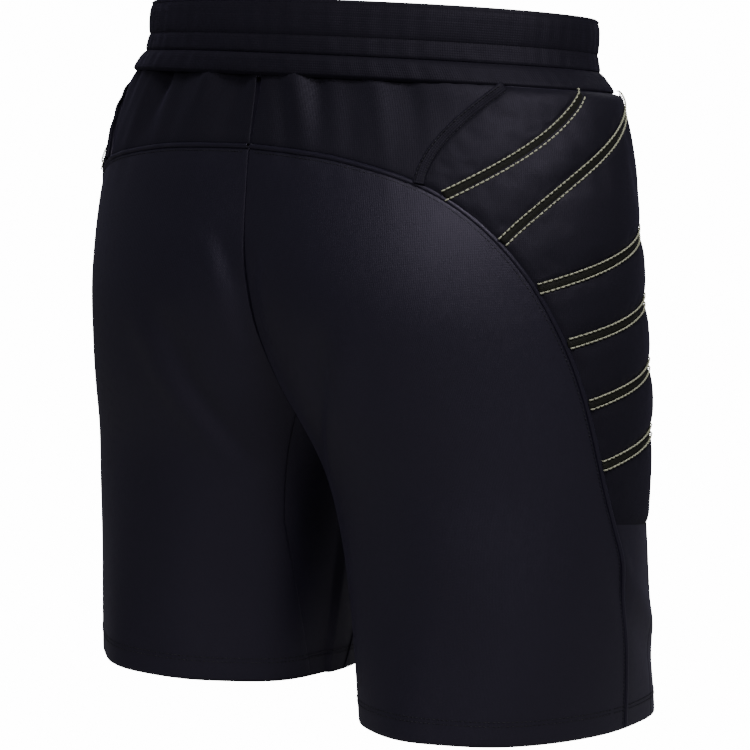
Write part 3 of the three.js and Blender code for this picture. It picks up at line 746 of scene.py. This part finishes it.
def groove_distance(q, w):
    """Millimetres, square to the pad's lines, to the nearest line of the cell."""
    k = np.clip(np.floor(w), 0, CELLS - 1)
    here, low, high = (on_block(pad_place(q, x)) for x in (w, k, k + 1))
    ahead, behind = (on_block(pad_place(np.clip(q + step, 0, 1), w)) for step in (0.02, -0.02))
    along = ahead - behind
    along /= np.linalg.norm(along, axis=-1, keepdims=True)

    def square(gap):
        return np.linalg.norm(gap - along * (gap * along).sum(-1, keepdims=True), axis=-1) / MM

    return square(here - low), square(high - here), k


def pad_lift(q, w):
    """Height of the pad's outer face over the side cloth, in millimetres."""
    sizes = bpy.context.scene.shorts_sizes
    crown, valley = sizes.pad_crown / MM, sizes.pad_valley / MM
    above, below, k = groove_distance(q, w)
    half_tape = 4.0
    first = np.where(k == 0, above - 1, above - half_tape)
    last = np.where(k == CELLS - 1, below - 1, below - half_tape)
    near = np.minimum(first, last)
    run = np.maximum((above + below) / 2 - half_tape, 4)
    puff = rounded(near / np.minimum(run, 13))
    here, *ends = (on_block(p) for p in (pad_place(q, w), pad_place(0 * q, w), pad_place(0 * q + 1, w)))
    from_arch, from_far = (np.linalg.norm(here - e, axis=-1) / MM for e in ends)
    end = rounded((np.minimum(from_arch, from_far) - 1.0) / 10)
    edge = np.minimum.reduce([
        from_arch, from_far, np.where(k == 0, above, 99), np.where(k == CELLS - 1, below, 99),
    ])
    base = np.interp(edge, (0, 0.6, 1.6, 3), (0.25, 1.1, 1.5, valley))
    # The foam thins towards the seat and the waistband, and tapers out at the foot.
    full = 0.2 + 0.8 * smoothstep(from_arch, 4, 75)
    full = full * np.interp(w, (0, 1, 2, 3, 4, 6, 6.6, 7), (0.35, 0.55, 0.8, 1, 1, 1, 0.8, 0.4))
    base = base * (0.55 + 0.45 * smoothstep(from_arch, 2, 50)) * np.interp(w, (6.3, 7), (1, 0.3))
    return base + (crown - base) * puff * end * full


class SHORTS_OT_stage(bpy.types.Operator):
    """Set the camera, the soft studio lights and the pale floor"""

    bl_idname = "shorts.stage"
    bl_label = "Stage"

    def execute(self, context):
        scene = context.scene
        azimuth, elevation, distance = math.radians(222.96), math.radians(8.84), 1.8888
        back = Vector((
            math.sin(azimuth) * math.cos(elevation),
            -math.cos(azimuth) * math.cos(elevation),
            math.sin(elevation),
        ))
        camera = bpy.data.objects.new("camera", bpy.data.cameras.new("camera"))
        scene.collection.objects.link(camera)
        camera.location = Vector((0, 0, -0.243)) + back * distance
        camera.rotation_euler = (-back).to_track_quat("-Z", "Y").to_euler()
        camera.data.lens = 132.1
        camera.data.shift_x = 0.0115
        camera.data.shift_y = -0.004
        scene.camera = camera

        right = Vector((0, 0, 1)).cross(back).normalized()
        lights = (
            # across, up, towards the camera, width, height, power, tint
            ("key", 0.3, 1.45, 1.7, 0.8, 0.6, 30, (1, 0.98, 1)),
            ("seat", -0.45, 0.5, 1.0, 0.6, 0.4, 2.2, (1, 0.98, 1)),
            ("right top", 1.0, 1.4, 1.0, 0.9, 0.7, 3, (1, 0.98, 1)),
            ("right side", 1.9, 0.5, 0.4, 0.8, 1.2, 0.8, (0.97, 0.97, 1)),
            ("front top", 0.2, 1.5, -1.3, 1.4, 0.6, 4, (0.96, 0.97, 1)),
        )
        for name, across, up, near, width, height, power, tint in lights:
            data = bpy.data.lights.new(name, "AREA")
            data.shape = "RECTANGLE"
            data.size, data.size_y, data.energy, data.color = width, height, power, tint
            lamp = bpy.data.objects.new(name, data)
            scene.collection.objects.link(lamp)
            lamp.location = Vector((0, 0, -0.22)) + right * across + Vector((0, 0, up)) + back * near
            aim = Vector((0, 0, -0.22)) - lamp.location
            lamp.rotation_euler = aim.to_track_quat("-Z", "Y").to_euler()

        world = bpy.data.worlds.new("studio")
        world.use_nodes = True
        tree = world.node_tree
        tree.nodes.clear()
        seen = node(tree, "ShaderNodeBackground", {"Color": (1, 1, 1, 1), "Strength": 15.0})
        lit = node(tree, "ShaderNodeBackground", {"Color": (0.93, 0.95, 1, 1), "Strength": 0.06})
        ray = node(tree, "ShaderNodeLightPath")
        values = {0: ray.outputs["Is Camera Ray"], 1: lit.outputs[0], 2: seen.outputs[0]}
        mix = node(tree, "ShaderNodeMixShader", values)
        tree.links.new(mix.outputs[0], node(tree, "ShaderNodeOutputWorld").inputs[0])
        scene.world = world

        bpy.ops.object.select_all(action="DESELECT")
        low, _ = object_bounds()
        bpy.ops.mesh.primitive_plane_add(size=6, location=(0, 0, low.z - 0.12))
        floor = context.object
        floor.name = "floor"
        floor.data.materials.append(material("floor"))
        floor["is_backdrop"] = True
        return {"FINISHED"}


def ring_places(count, depths):
    """Sides, depths and angles round the whole waist."""
    heading = np.arange(count) * 360.0 / count
    side = np.where((heading < 90) | (heading > 270), 1, -1)
    quarter = np.where(side > 0, (heading + 90) % 360 - 90, 180 - heading)
    centre_x, _, radius_x, _ = section(depths)
    limit = np.degrees(np.arccos(np.clip(-centre_x / radius_x, -1, 1)))
    return side[:, None], quarter[:, None] / 90 * limit[None, :], heading


def ring_points(count, depths, proud):
    side, angle, heading = ring_places(count, depths)
    return skin(side, depths[None, :] + 0 * angle, angle, proud), heading


class SHORTS_OT_waistband(bpy.types.Operator):
    """Make the ribbed waistband with its rolls, the elastic and the facing"""

    bl_idname = "shorts.waistband"
    bl_label = "Waistband"

    def execute(self, context):
        sizes = context.scene.shorts_sizes
        count = 460
        roll = sizes.band_roll / MM
        over = np.array([(-1.2, -1.9), (-1.7, -1.0), (-1.8, 0.0), (-1.4, 0.9)])
        depths = np.concatenate([over[:, 0], np.linspace(-0.6, 43.4, 64), [43.9, 44.4, 44.7]])
        heading = np.arange(count) * 2 * math.pi / count
        proud = np.zeros(len(depths))
        seams = np.array(BAND_SEAMS, float)
        k = np.clip(np.searchsorted(seams, depths, side="right") - 1, 0, len(seams) - 2)
        width = seams[k + 1] - seams[k]
        t = np.clip((depths - seams[k]) / width, 0, 1)
        swell = np.sqrt(np.clip(1 - np.abs(2 * t - 1) ** 2.6, 0, 1)) * roll * np.sqrt(width / 20)
        proud = 0.95 + swell + 0.9 * smoothstep(depths, seams[2], seams[2] + 4)
        proud[:4] = over[:, 1] + 0.9
        proud[-3:] = (1.3, 0.6, -0.3)
        crease = 0.6 * bump(depths, seams[1], 0.8) + 2.2 * bump(depths, seams[2], 1.0)
        ease = (
            0.34 * np.sin(heading * 74 + 0.8 * np.sin(heading * 9))
            + 0.25 * np.sin(heading * 41 + 1.3 * np.sin(heading * 5 + 1))
            + 0.45 * np.sin(heading * 13 + 2)
        )
        wave = ease[:, None] * (0.35 + 0.65 * np.sin(math.pi * t))[None, :]
        top_line = 0.12 * bump(depths, 7.2, 0.5)
        proud = proud[None, :] + 0.7 * wave - 0.3 * crease[None, :] - top_line[None, :]
        points, _ = ring_points(count, depths, proud)
        spread = np.cumsum(np.r_[0, np.linalg.norm(np.diff(points[:, 20], axis=0), axis=1)]) / MM
        places = np.stack(np.broadcast_arrays(depths[None, :], spread[:, None] / MM_PER_DEGREE), -1)
        # Painted shade: the rib is darkened along the grooves where the band is sewn through.
        away = np.min([np.abs(depths - s) for s in seams], axis=0)[None, :] + np.zeros((count, 1))
        shell = grid_object("waistband_shell", points, places, "rib", sizes.cloth, seam=away, ring=True)
        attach(shell, "root")
        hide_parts("waistband_outer")

        depths = np.linspace(4, 40, 20)
        points, _ = ring_points(count, depths, -0.45 + 0 * depths[None, :])
        elastic = grid_object("waist_elastic_band", points, places[:, :20], "elastic", 1.3 * MM, ring=True)
        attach(elastic, "root")
        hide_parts("waist_elastic")

        depths = np.concatenate([[-1.1, -0.9, -0.3], np.linspace(0.5, 43, 40), [43.8]])
        edge = np.interp(depths, (-1.1, -0.9, -0.3, 1), (-1.9, -2.4, -2.7, -2.5))
        edge[-1] = -2.2
        ripple = 0.5 * np.clip(ease, -1, 0.2)[:, None] * smoothstep(depths, 1, 12)[None, :]
        points, _ = ring_points(count, depths, edge[None, :] + ripple)
        spots = np.stack(np.broadcast_arrays(depths[None, :], spread[:, None] / MM_PER_DEGREE), -1)
        lining = grid_object("waistband_lining", points, spots, "lining", sizes.cloth, ring=True)
        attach(lining, "root")
        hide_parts("waistband_facing")
        return {"FINISHED"}


class SHORTS_OT_cloth(bpy.types.Operator):
    """Make the body and leg cloth: yokes, backs, fronts, sides and gussets"""

    bl_idname = "shorts.cloth"
    bl_label = "Body and Legs"

    def execute(self, context):
        for name, side in SIDES:
            sew_panel(f"yoke_cloth_{name}", [f"back_yoke_{name}"], side, yoke_places(),
                      ("right", "bottom", "band"), finish="pad knit",
                      soft=("left",), soft_depth=0.2)
            sew_panel(f"back_cloth_{name}", [f"seat_panel_{name}", f"thigh_back_{name}"], side,
                      back_panel_places(), ("right", "top"), turn_up=True, soft=("left",))
            sew_panel(f"front_cloth_{name}", [f"belly_panel_{name}", f"thigh_front_{name}"], side,
                      front_panel_places(), ("left", "band"), turn_up=True, soft=("right",))
            sew_panel(f"side_cloth_{name}", [f"side_panel_{name}", f"side_strip_{name}"], side,
                      side_places(), ("left", "right", "band"), turn_up=True)
            sew_panel(f"gusset_cloth_{name}", [f"crotch_gusset_{name}", f"inseam_panel_{name}"], side,
                      gusset_places(), (), turn_up=True, low=-0.95,
                      soft=("left", "right", "top"))
        return {"FINISHED"}


def inflate(points, near, lift):
    """How the cover swells between its channels: cloth with air behind it,
    held at the channels and the edges."""
    m, n = points.shape[:2]
    index = np.arange(m * n).reshape(m, n)
    quads = np.stack([index[:-1, :-1], index[1:, :-1], index[1:, 1:], index[:-1, 1:]], -1).reshape(-1, 4)
    a, b, c = (points.reshape(-1, 3)[quads[:, i]] for i in range(3))
    outward = np.cross(b - a, c - b).sum(0)
    if outward[0] > 0:
        quads = quads[:, ::-1]
    mesh = bpy.data.meshes.new("pad_form")
    mesh.from_pydata(points.reshape(-1, 3).tolist(), [], quads.tolist())
    form = bpy.data.objects.new("pad_form", mesh)
    bpy.context.scene.collection.objects.link(form)
    held = near < 4.4
    held[:2] = held[-2:] = True
    held[:, :2] = held[:, -2:] = True
    pins = form.vertex_groups.new(name="held")
    for i in np.flatnonzero(held.reshape(-1)):
        pins.add([int(i)], 1.0, "REPLACE")
    cloth_mod = form.modifiers.new("air", "CLOTH")
    settings = cloth_mod.settings
    settings.quality = 6
    settings.mass = 0.15
    settings.tension_stiffness = settings.compression_stiffness = 12
    settings.shear_stiffness = 4
    settings.bending_stiffness = 0.8
    settings.vertex_group_mass = "held"
    settings.use_pressure = True
    settings.uniform_pressure_force = 4
    settings.shrink_min = -0.006
    settings.effector_weights.gravity = 0
    scene = bpy.context.scene
    for number in range(1, 21):
        scene.frame_set(number)
    done = form.evaluated_get(bpy.context.evaluated_depsgraph_get()).to_mesh()
    after = np.zeros(m * n * 3, np.float32)
    done.vertices.foreach_get("co", after)
    moved = after.reshape(m, n, 3).astype(float) - points
    scene.frame_set(1)
    bpy.data.objects.remove(form)
    size = np.linalg.norm(moved, axis=-1, keepdims=True)
    most = 1.6 * MM
    return moved * np.minimum(1, most / np.maximum(size, 1e-9))


class SHORTS_OT_pads(bpy.types.Operator):
    """Make the quilted hip pads: covers, foam cells, tapes and the bound edge"""

    bl_idname = "shorts.pads"
    bl_label = "Hip Pads"

    def execute(self, context):
        sizes = context.scene.shorts_sizes
        qs = shares(100, 2.8)
        ws = pad_rows()
        q, w = np.meshgrid(qs, ws, indexing="ij")
        place = pad_place(q, w)
        lift = pad_lift(q, w)
        away = groove_distance(q, w)
        # Painted shade: the cover is darkened where it dips into each channel, 3.1 mm from the pad line.
        seam = np.abs(np.minimum(away[0], away[1]) - 3.1)
        near = np.minimum.reduce([away[0], away[1]])
        swelling = inflate(cloth(-1, place, lift), near, lift)
        for name, side in SIDES:
            points = cloth(side, place, lift)
            if swelling is not None:
                points = points + swelling * (-side, 1, 1)
            cover = grid_object(f"pad_cover_{name}", points, place, "pad knit", sizes.cloth, seam=seam)
            hang(cover)
            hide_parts(f"hip_pad_cover_{name}")
            for k in range(CELLS):
                self.foam(name, side, k)
                if k:
                    self.tape(name, side, k)
            self.binding(name, side)
        return {"FINISHED"}

    def foam(self, name, side, k):
        """A closed foam block that fills one cell under the cover."""
        low, high = (6.0 / max(cell_width(k, q), 14) for q in (0.5, 0.5))
        rows = k + np.linspace(min(low, 0.3), 1 - min(high, 0.3), 12)
        q, w = np.meshgrid(np.linspace(0.3 if k == 0 else 0.14, 0.88, 26), rows, indexing="ij")
        place = pad_place(q, w)
        top = np.maximum(pad_lift(q, w) - 1.9, 1.0)
        layers = []
        for proud in (top, np.full_like(top, 0.35)):
            layers.append(cloth(side, place, proud))
        obj = closed_slab(f"foam_block_{k + 1}_{name}", layers[0], layers[1], "foam")
        hang(obj)
        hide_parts(f"foam_cell_{k + 1}_{name}")

    def tape(self, name, side, k):
        """The dark strip that shows between a channel's two rows of stitches."""
        half = 2.7
        across = np.linspace(-half, half, 9)
        points, places = channel_band(side, k, across, lambda x: 0.35 + 0.45 * (1 - (x / half) ** 2))
        obj = grid_object(f"channel_strip_{k}_{name}", points, places, "tape", 0.3 * MM)
        hang(obj)
        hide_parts(f"channel_tape_{k}_{name}")

    def binding(self, name, side):
        """The folded binding on the pad's upper back edge."""
        across = np.array([-4.6, -4.5, -4.0, -3.0, -1.8, -0.6, 0.6, 1.6, 2.3, 2.9, 3.3, 3.4])
        turns = (-4.6, -4.5, -4.0, -1.8, 1.6, 2.9, 3.3, 3.4)
        rise = np.interp(across, turns, (-0.1, 0.4, 1.1, 1.7, 1.9, 1.5, 0.8, 0.2))
        points, places = channel_band(side, 0, across, lambda x: np.interp(x, across, rise), from_cloth=True)
        obj = grid_object(f"pad_edge_binding_{name}", points, places, "rib", 0.5 * MM)
        hang(obj)
        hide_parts(f"pad_binding_{name}")


def closed_slab(name, outer, inner, finish):
    m, n = outer.shape[:2]
    top = np.arange(m * n).reshape(m, n)
    under = top + m * n
    quads = [np.stack([g[:-1, :-1], g[1:, :-1], g[1:, 1:], g[:-1, 1:]], -1).reshape(-1, 4)[:, ::step]
             for g, step in ((top, 1), (under, -1))]
    rim = np.concatenate([top[:-1, 0], top[-1, :-1], top[:0:-1, -1], top[0, :0:-1]])
    rim_next = np.roll(rim, -1)
    quads.append(np.stack([rim_next, rim, rim + m * n, rim_next + m * n], -1))
    mesh = bpy.data.meshes.new(name)
    points = np.concatenate([outer.reshape(-1, 3), inner.reshape(-1, 3)])
    mesh.from_pydata(points.tolist(), [], np.concatenate(quads).tolist())
    mesh.shade_smooth()
    obj = bpy.data.objects.new(name, mesh)
    bpy.context.scene.collection.objects.link(obj)
    bpy.ops.object.select_all(action="DESELECT")
    bpy.context.view_layer.objects.active = obj
    obj.select_set(True)
    bpy.ops.object.mode_set(mode="EDIT")
    bpy.ops.mesh.select_all(action="SELECT")
    bpy.ops.mesh.normals_make_consistent(inside=False)
    bpy.ops.object.mode_set(mode="OBJECT")
    bpy.ops.object.shade_smooth_by_angle(angle=math.radians(40))
    obj.select_set(False)
    mesh.materials.append(material(finish))
    return obj


def frame_along(path, normal):
    """Unit vectors along a path, out of the cloth, and across it."""
    along = np.gradient(path, axis=0)
    along /= np.linalg.norm(along, axis=1, keepdims=True)
    across = np.cross(along, normal)
    across /= np.linalg.norm(across, axis=1, keepdims=True)
    return along, np.cross(across, along), across


def surface_path(side, places, proud):
    """A path on the cloth, with the direction out of it."""
    path = cloth(side, places, proud)
    out = skin(side, places[:, 0], places[:, 1], proud + 1) - skin(side, places[:, 0], places[:, 1], proud)
    return path, out / np.linalg.norm(out, axis=1, keepdims=True)


def channel_line(side, k, q, from_cloth=False):
    q = np.asarray(q, float)
    places = pad_place(q, np.full_like(q, k))
    lift = pad_lift(q, np.full_like(q, k, dtype=float))
    if from_cloth:
        lift = 0 * q + 1.6
    return surface_path(side, places, lift)


def channel_band(side, k, across, rise, from_cloth=False):
    """A strip along pad line k; across and rise shape its section."""
    q = np.linspace(0.012, 0.988, 90)
    path, out = channel_line(side, k, q, from_cloth)
    _, up, over = frame_along(path, out)
    points = path[:, None] + MM * (
        over[:, None] * across[None, :, None] + up[:, None] * rise(across)[None, :, None]
    )
    run = np.cumsum(np.r_[0, np.linalg.norm(np.diff(path, axis=0), axis=1)]) / MM
    spots = np.stack(np.broadcast_arrays(-run[:, None], across[None, :] / MM_PER_DEGREE), -1)
    return points, spots


def stitch_row(path, out, pitch, length, width, height, sink=0.25):
    """Points and faces of a row of stitches along a path, in millimetres."""
    run = np.cumsum(np.r_[0, np.linalg.norm(np.diff(path, axis=0), axis=1)]) / MM
    count = int(run[-1] // pitch)
    starts = (np.arange(count) + 0.5) * pitch + (run[-1] - count * pitch) / 2 - length / 2
    stations = np.array([0, 0.16, 0.5, 0.84, 1.0])
    girth = np.array([0.45, 0.9, 1.0, 0.9, 0.45])
    arc = np.array([-sink, 0.75 * height, height, 0.75 * height, -sink])
    s = starts[:, None] + stations[None, :] * length
    at = np.stack([np.interp(s, run, path[:, c]) for c in range(3)], -1)
    up = np.stack([np.interp(s, run, out[:, c]) for c in range(3)], -1)
    up /= np.linalg.norm(up, axis=-1, keepdims=True)
    along = at[:, -1:] - at[:, :1]
    along = along / np.linalg.norm(along, axis=-1, keepdims=True)
    over = np.cross(along, up)
    corners = np.radians(np.arange(5) * 72 + 18)
    reach = 0.5 * width * girth[:, None]
    rise, side = arc[:, None] + reach * np.sin(corners), reach * np.cos(corners)
    ring = at[:, :, None] + MM * (
        up[:, :, None] * rise[None, ..., None] + over[:, :, None] * side[None, ..., None]
    )
    base = np.arange(count * 25).reshape(count, 5, 5)
    after = np.roll(base, -1, axis=2)
    sides = np.stack([base[:, :-1], base[:, 1:], after[:, 1:], after[:, :-1]], -1).reshape(-1, 4)
    caps = [*base[:, 0].tolist(), *base[:, -1, ::-1].tolist()]
    return ring.reshape(-1, 3), sides.tolist() + caps


def stitches_object(name, rows, finish):
    points, faces, start = [], [], 0
    for p, f in rows:
        points.append(p)
        faces += [[i + start for i in face] for face in f]
        start += len(p)
    mesh = bpy.data.meshes.new(name)
    mesh.from_pydata(np.concatenate(points).tolist(), [], faces)
    mesh.shade_smooth()
    obj = bpy.data.objects.new(name, mesh)
    bpy.context.scene.collection.objects.link(obj)
    bpy.ops.object.select_all(action="DESELECT")
    bpy.context.view_layer.objects.active = obj
    obj.select_set(True)
    bpy.ops.object.mode_set(mode="EDIT")
    bpy.ops.mesh.select_all(action="SELECT")
    bpy.ops.mesh.normals_make_consistent(inside=False)
    bpy.ops.object.mode_set(mode="OBJECT")
    obj.select_set(False)
    mesh.materials.append(material(finish))
    return obj


class SHORTS_OT_trim(bpy.types.Operator):
    """Make the arched piping and the hem facings"""

    bl_idname = "shorts.trim"
    bl_label = "Piping and Hems"

    def execute(self, context):
        sizes = context.scene.shorts_sizes
        for name, side in SIDES:
            ts = np.linspace(0.002, arch_at(LENGTH - 1.5), 420)
            places = arch(ts)
            places[:, 1] = np.minimum(places[:, 1], middle_angle(places[:, 0], 0.3))
            path, out = surface_path(side, places, -0.4)
            _, up, over = frame_along(path, out)
            turn = np.radians(np.linspace(-60, 240, 13))
            radius = 0.5 * sizes.piping / MM
            section_x, section_y = radius * np.cos(turn), 0.85 * radius * np.sin(turn) + 0.25
            points = path[:, None] + MM * (
                over[:, None] * section_x[None, :, None] + up[:, None] * section_y[None, :, None]
            )
            run = np.cumsum(np.r_[0, np.linalg.norm(np.diff(path, axis=0), axis=1)]) / MM
            spots = np.stack(np.broadcast_arrays(-run[:, None], section_x[None, :] / MM_PER_DEGREE), -1)
            piping = grid_object(f"arch_cord_{name}", points, spots, "piping", 0)
            hang(piping)
            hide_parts(f"arch_piping_{name}")

            depths = np.concatenate([np.linspace(LENGTH - 20, LENGTH - 2, 12), [LENGTH - 0.8, LENGTH - 0.2]])
            proud = np.interp(LENGTH - depths, (0.2, 0.8, 2, 20), (-2.0, -2.9, -3.3, -3.1))
            angles = np.arange(260) * 360 / 260
            spots = np.stack(np.meshgrid(angles, depths, indexing="ij")[::-1], -1)
            points = cloth(side, spots, proud[None, :])
            facing = grid_object(f"hem_turning_{name}", points, spots, "lining", 0.8 * MM, ring=True)
            hang(facing)
            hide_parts(f"hem_facing_{name}")
        return {"FINISHED"}


class SHORTS_OT_stitching(bpy.types.Operator):
    """Make every visible row of stitches"""

    bl_idname = "shorts.stitching"
    bl_label = "Stitching"

    def execute(self, context):
        sizes = context.scene.shorts_sizes
        length, width = sizes.stitch_length / MM, sizes.stitch_width / MM
        for name, side in SIDES:
            rows = []
            for k in range(1, CELLS):
                q = np.linspace(0.006, 0.994, 200)
                path, out = channel_line(side, k, q)
                _, up, over = frame_along(path, out)
                for across in (-3.05, 3.05):
                    line = path + (over * across + up * 0.7) * MM
                    rows.append(stitch_row(line, up, length + 0.3, length, width, 0.75))
            obj = stitches_object(f"channel_stitches_{name}", rows, "thread")
            hang(obj)

            rows = []
            for across in (-3.3, 1.7):
                q = np.linspace(0.02, 0.98, 120)
                path, out = channel_line(side, 0, q, True)
                _, up, over = frame_along(path, out)
                rows.append(stitch_row(path + (over * across + up * 1.75) * MM, up, 2.9, 2.3, 0.45, 0.2))
            ts = np.linspace(0.004, arch_at(LENGTH - 3), 700)
            places = arch_beside(ts, 3.4)
            places[:, 1] = np.minimum(places[:, 1], middle_angle(places[:, 0], 0.3) - 1)
            path, out = surface_path(side, places, 0.02)
            rows.append(stitch_row(path, out, 2.9, 2.3, 0.45, 0.15))
            angles = np.linspace(0, 360, 900)
            for rise in (17.0, 14.2):
                path, out = surface_path(side, line_of(LENGTH - rise, angles), 0.02)
                rows.append(stitch_row(path, out, 3.0, 2.4, 0.5, 0.15))
            obj = stitches_object(f"dark_stitches_{name}", rows, "dark thread")
            hang(obj)

        rows = []
        for depth, proud in ((7.2, None), (20.0, 0.75), (31.5, 0.75)):
            turns = 1400
            if proud is None:
                t = depth / 20
                proud = 0.95 + math.sqrt(1 - abs(2 * t - 1) ** 2.6) * sizes.band_roll / MM - 0.05
            points, _ = ring_points(turns, np.array([depth, depth + 1]), np.array([[proud, proud]]))
            path = np.concatenate([points[:, 0], points[:1, 0]])
            centre = np.array([0, 0, 0.0])
            out = path - centre
            out[:, 2] = 0
            out /= np.linalg.norm(out, axis=1, keepdims=True)
            rows.append(stitch_row(path, out, 3.0, 2.4, 0.5, 0.15))
        obj = stitches_object("waistband_stitches", rows, "dark thread")
        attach(obj, "root")
        return {"FINISHED"}


def size_property(name, description, default):
    return bpy.props.FloatProperty(name=name, description=description, default=default, unit="LENGTH")


class ShortsSizes(bpy.types.PropertyGroup):
    cloth: size_property("Cloth", "Thickness of the knit", 0.0009)
    band_roll: size_property("Waistband Roll", "How far the widest roll of the waistband swells", 0.0014)
    pad_crown: size_property("Pad Crown", "Height of the pad's cells over the cloth", 0.0056)
    pad_valley: size_property("Pad Channel", "Height of the pad's channels over the cloth", 0.0030)
    piping: size_property("Piping", "Width of the piping in the arched seam", 0.0031)
    stitch_length: size_property("Stitch Length", "Length of one stitch of the channels", 0.0032)
    stitch_width: size_property("Stitch Width", "Thickness of the channels' thread", 0.0012)


def colour_property(name, description, default):
    return bpy.props.FloatVectorProperty(
        name=name, description=description, default=default, subtype="COLOR", min=0, max=1
    )


class ShortsLooks(bpy.types.PropertyGroup):
    knit: colour_property("Body Knit", "Colour of the body cloth", (0.0108, 0.0098, 0.0185))
    pad_knit: colour_property("Pad Knit", "Colour of the pad covers", (0.0112, 0.0106, 0.0165))
    rib: colour_property("Rib", "Colour of the waistband", (0.0092, 0.0086, 0.0140))
    tape: colour_property("Channel Strip", "Colour of the strips in the channels", (0.0120, 0.0135, 0.0060))
    thread: colour_property("Channel Thread", "Colour of the channels' stitches", (0.55, 0.56, 0.40))
    dark_thread: colour_property("Seam Thread", "Colour of the other stitches", (0.012, 0.012, 0.017))
    foam: colour_property("Foam", "Colour of the foam", (0.045, 0.045, 0.05))
    elastic: colour_property("Elastic", "Colour of the elastic", (0.03, 0.03, 0.032))
    floor: colour_property("Floor", "Colour of the floor", (0.3, 0.3, 0.3))


class SHORTS_PT_panel(bpy.types.Panel):
    """Lists the shorts' pieces, sizes and colours"""

    bl_label = "Shorts"
    bl_idname = "SHORTS_PT_panel"
    bl_space_type = "VIEW_3D"
    bl_region_type = "UI"
    bl_category = "Shorts"

    def draw(self, context):
        layout = self.layout
        for operator in OPERATORS:
            layout.operator(operator.bl_idname)
        for group in (context.scene.shorts_sizes, context.scene.shorts_looks):
            for key in group.__annotations__:
                layout.prop(group, key)


OPERATORS = (
    SHORTS_OT_stage, SHORTS_OT_waistband, SHORTS_OT_cloth, SHORTS_OT_pads,
    SHORTS_OT_trim, SHORTS_OT_stitching,
)
CLASSES = (ShortsSizes, ShortsLooks, *OPERATORS, SHORTS_PT_panel)


def register():
    for made in CLASSES:
        bpy.utils.register_class(made)
    bpy.types.Scene.shorts_sizes = bpy.props.PointerProperty(type=ShortsSizes)
    bpy.types.Scene.shorts_looks = bpy.props.PointerProperty(type=ShortsLooks)


def unregister():
    del bpy.types.Scene.shorts_sizes
    del bpy.types.Scene.shorts_looks
    for made in reversed(CLASSES):
        bpy.utils.unregister_class(made)


def main():
    register()
    bpy.ops.shorts.stage()
    bpy.ops.shorts.waistband()
    bpy.ops.shorts.cloth()
    bpy.ops.shorts.pads()
    bpy.ops.shorts.trim()
    bpy.ops.shorts.stitching()


if __name__ == "__main__":
    main()
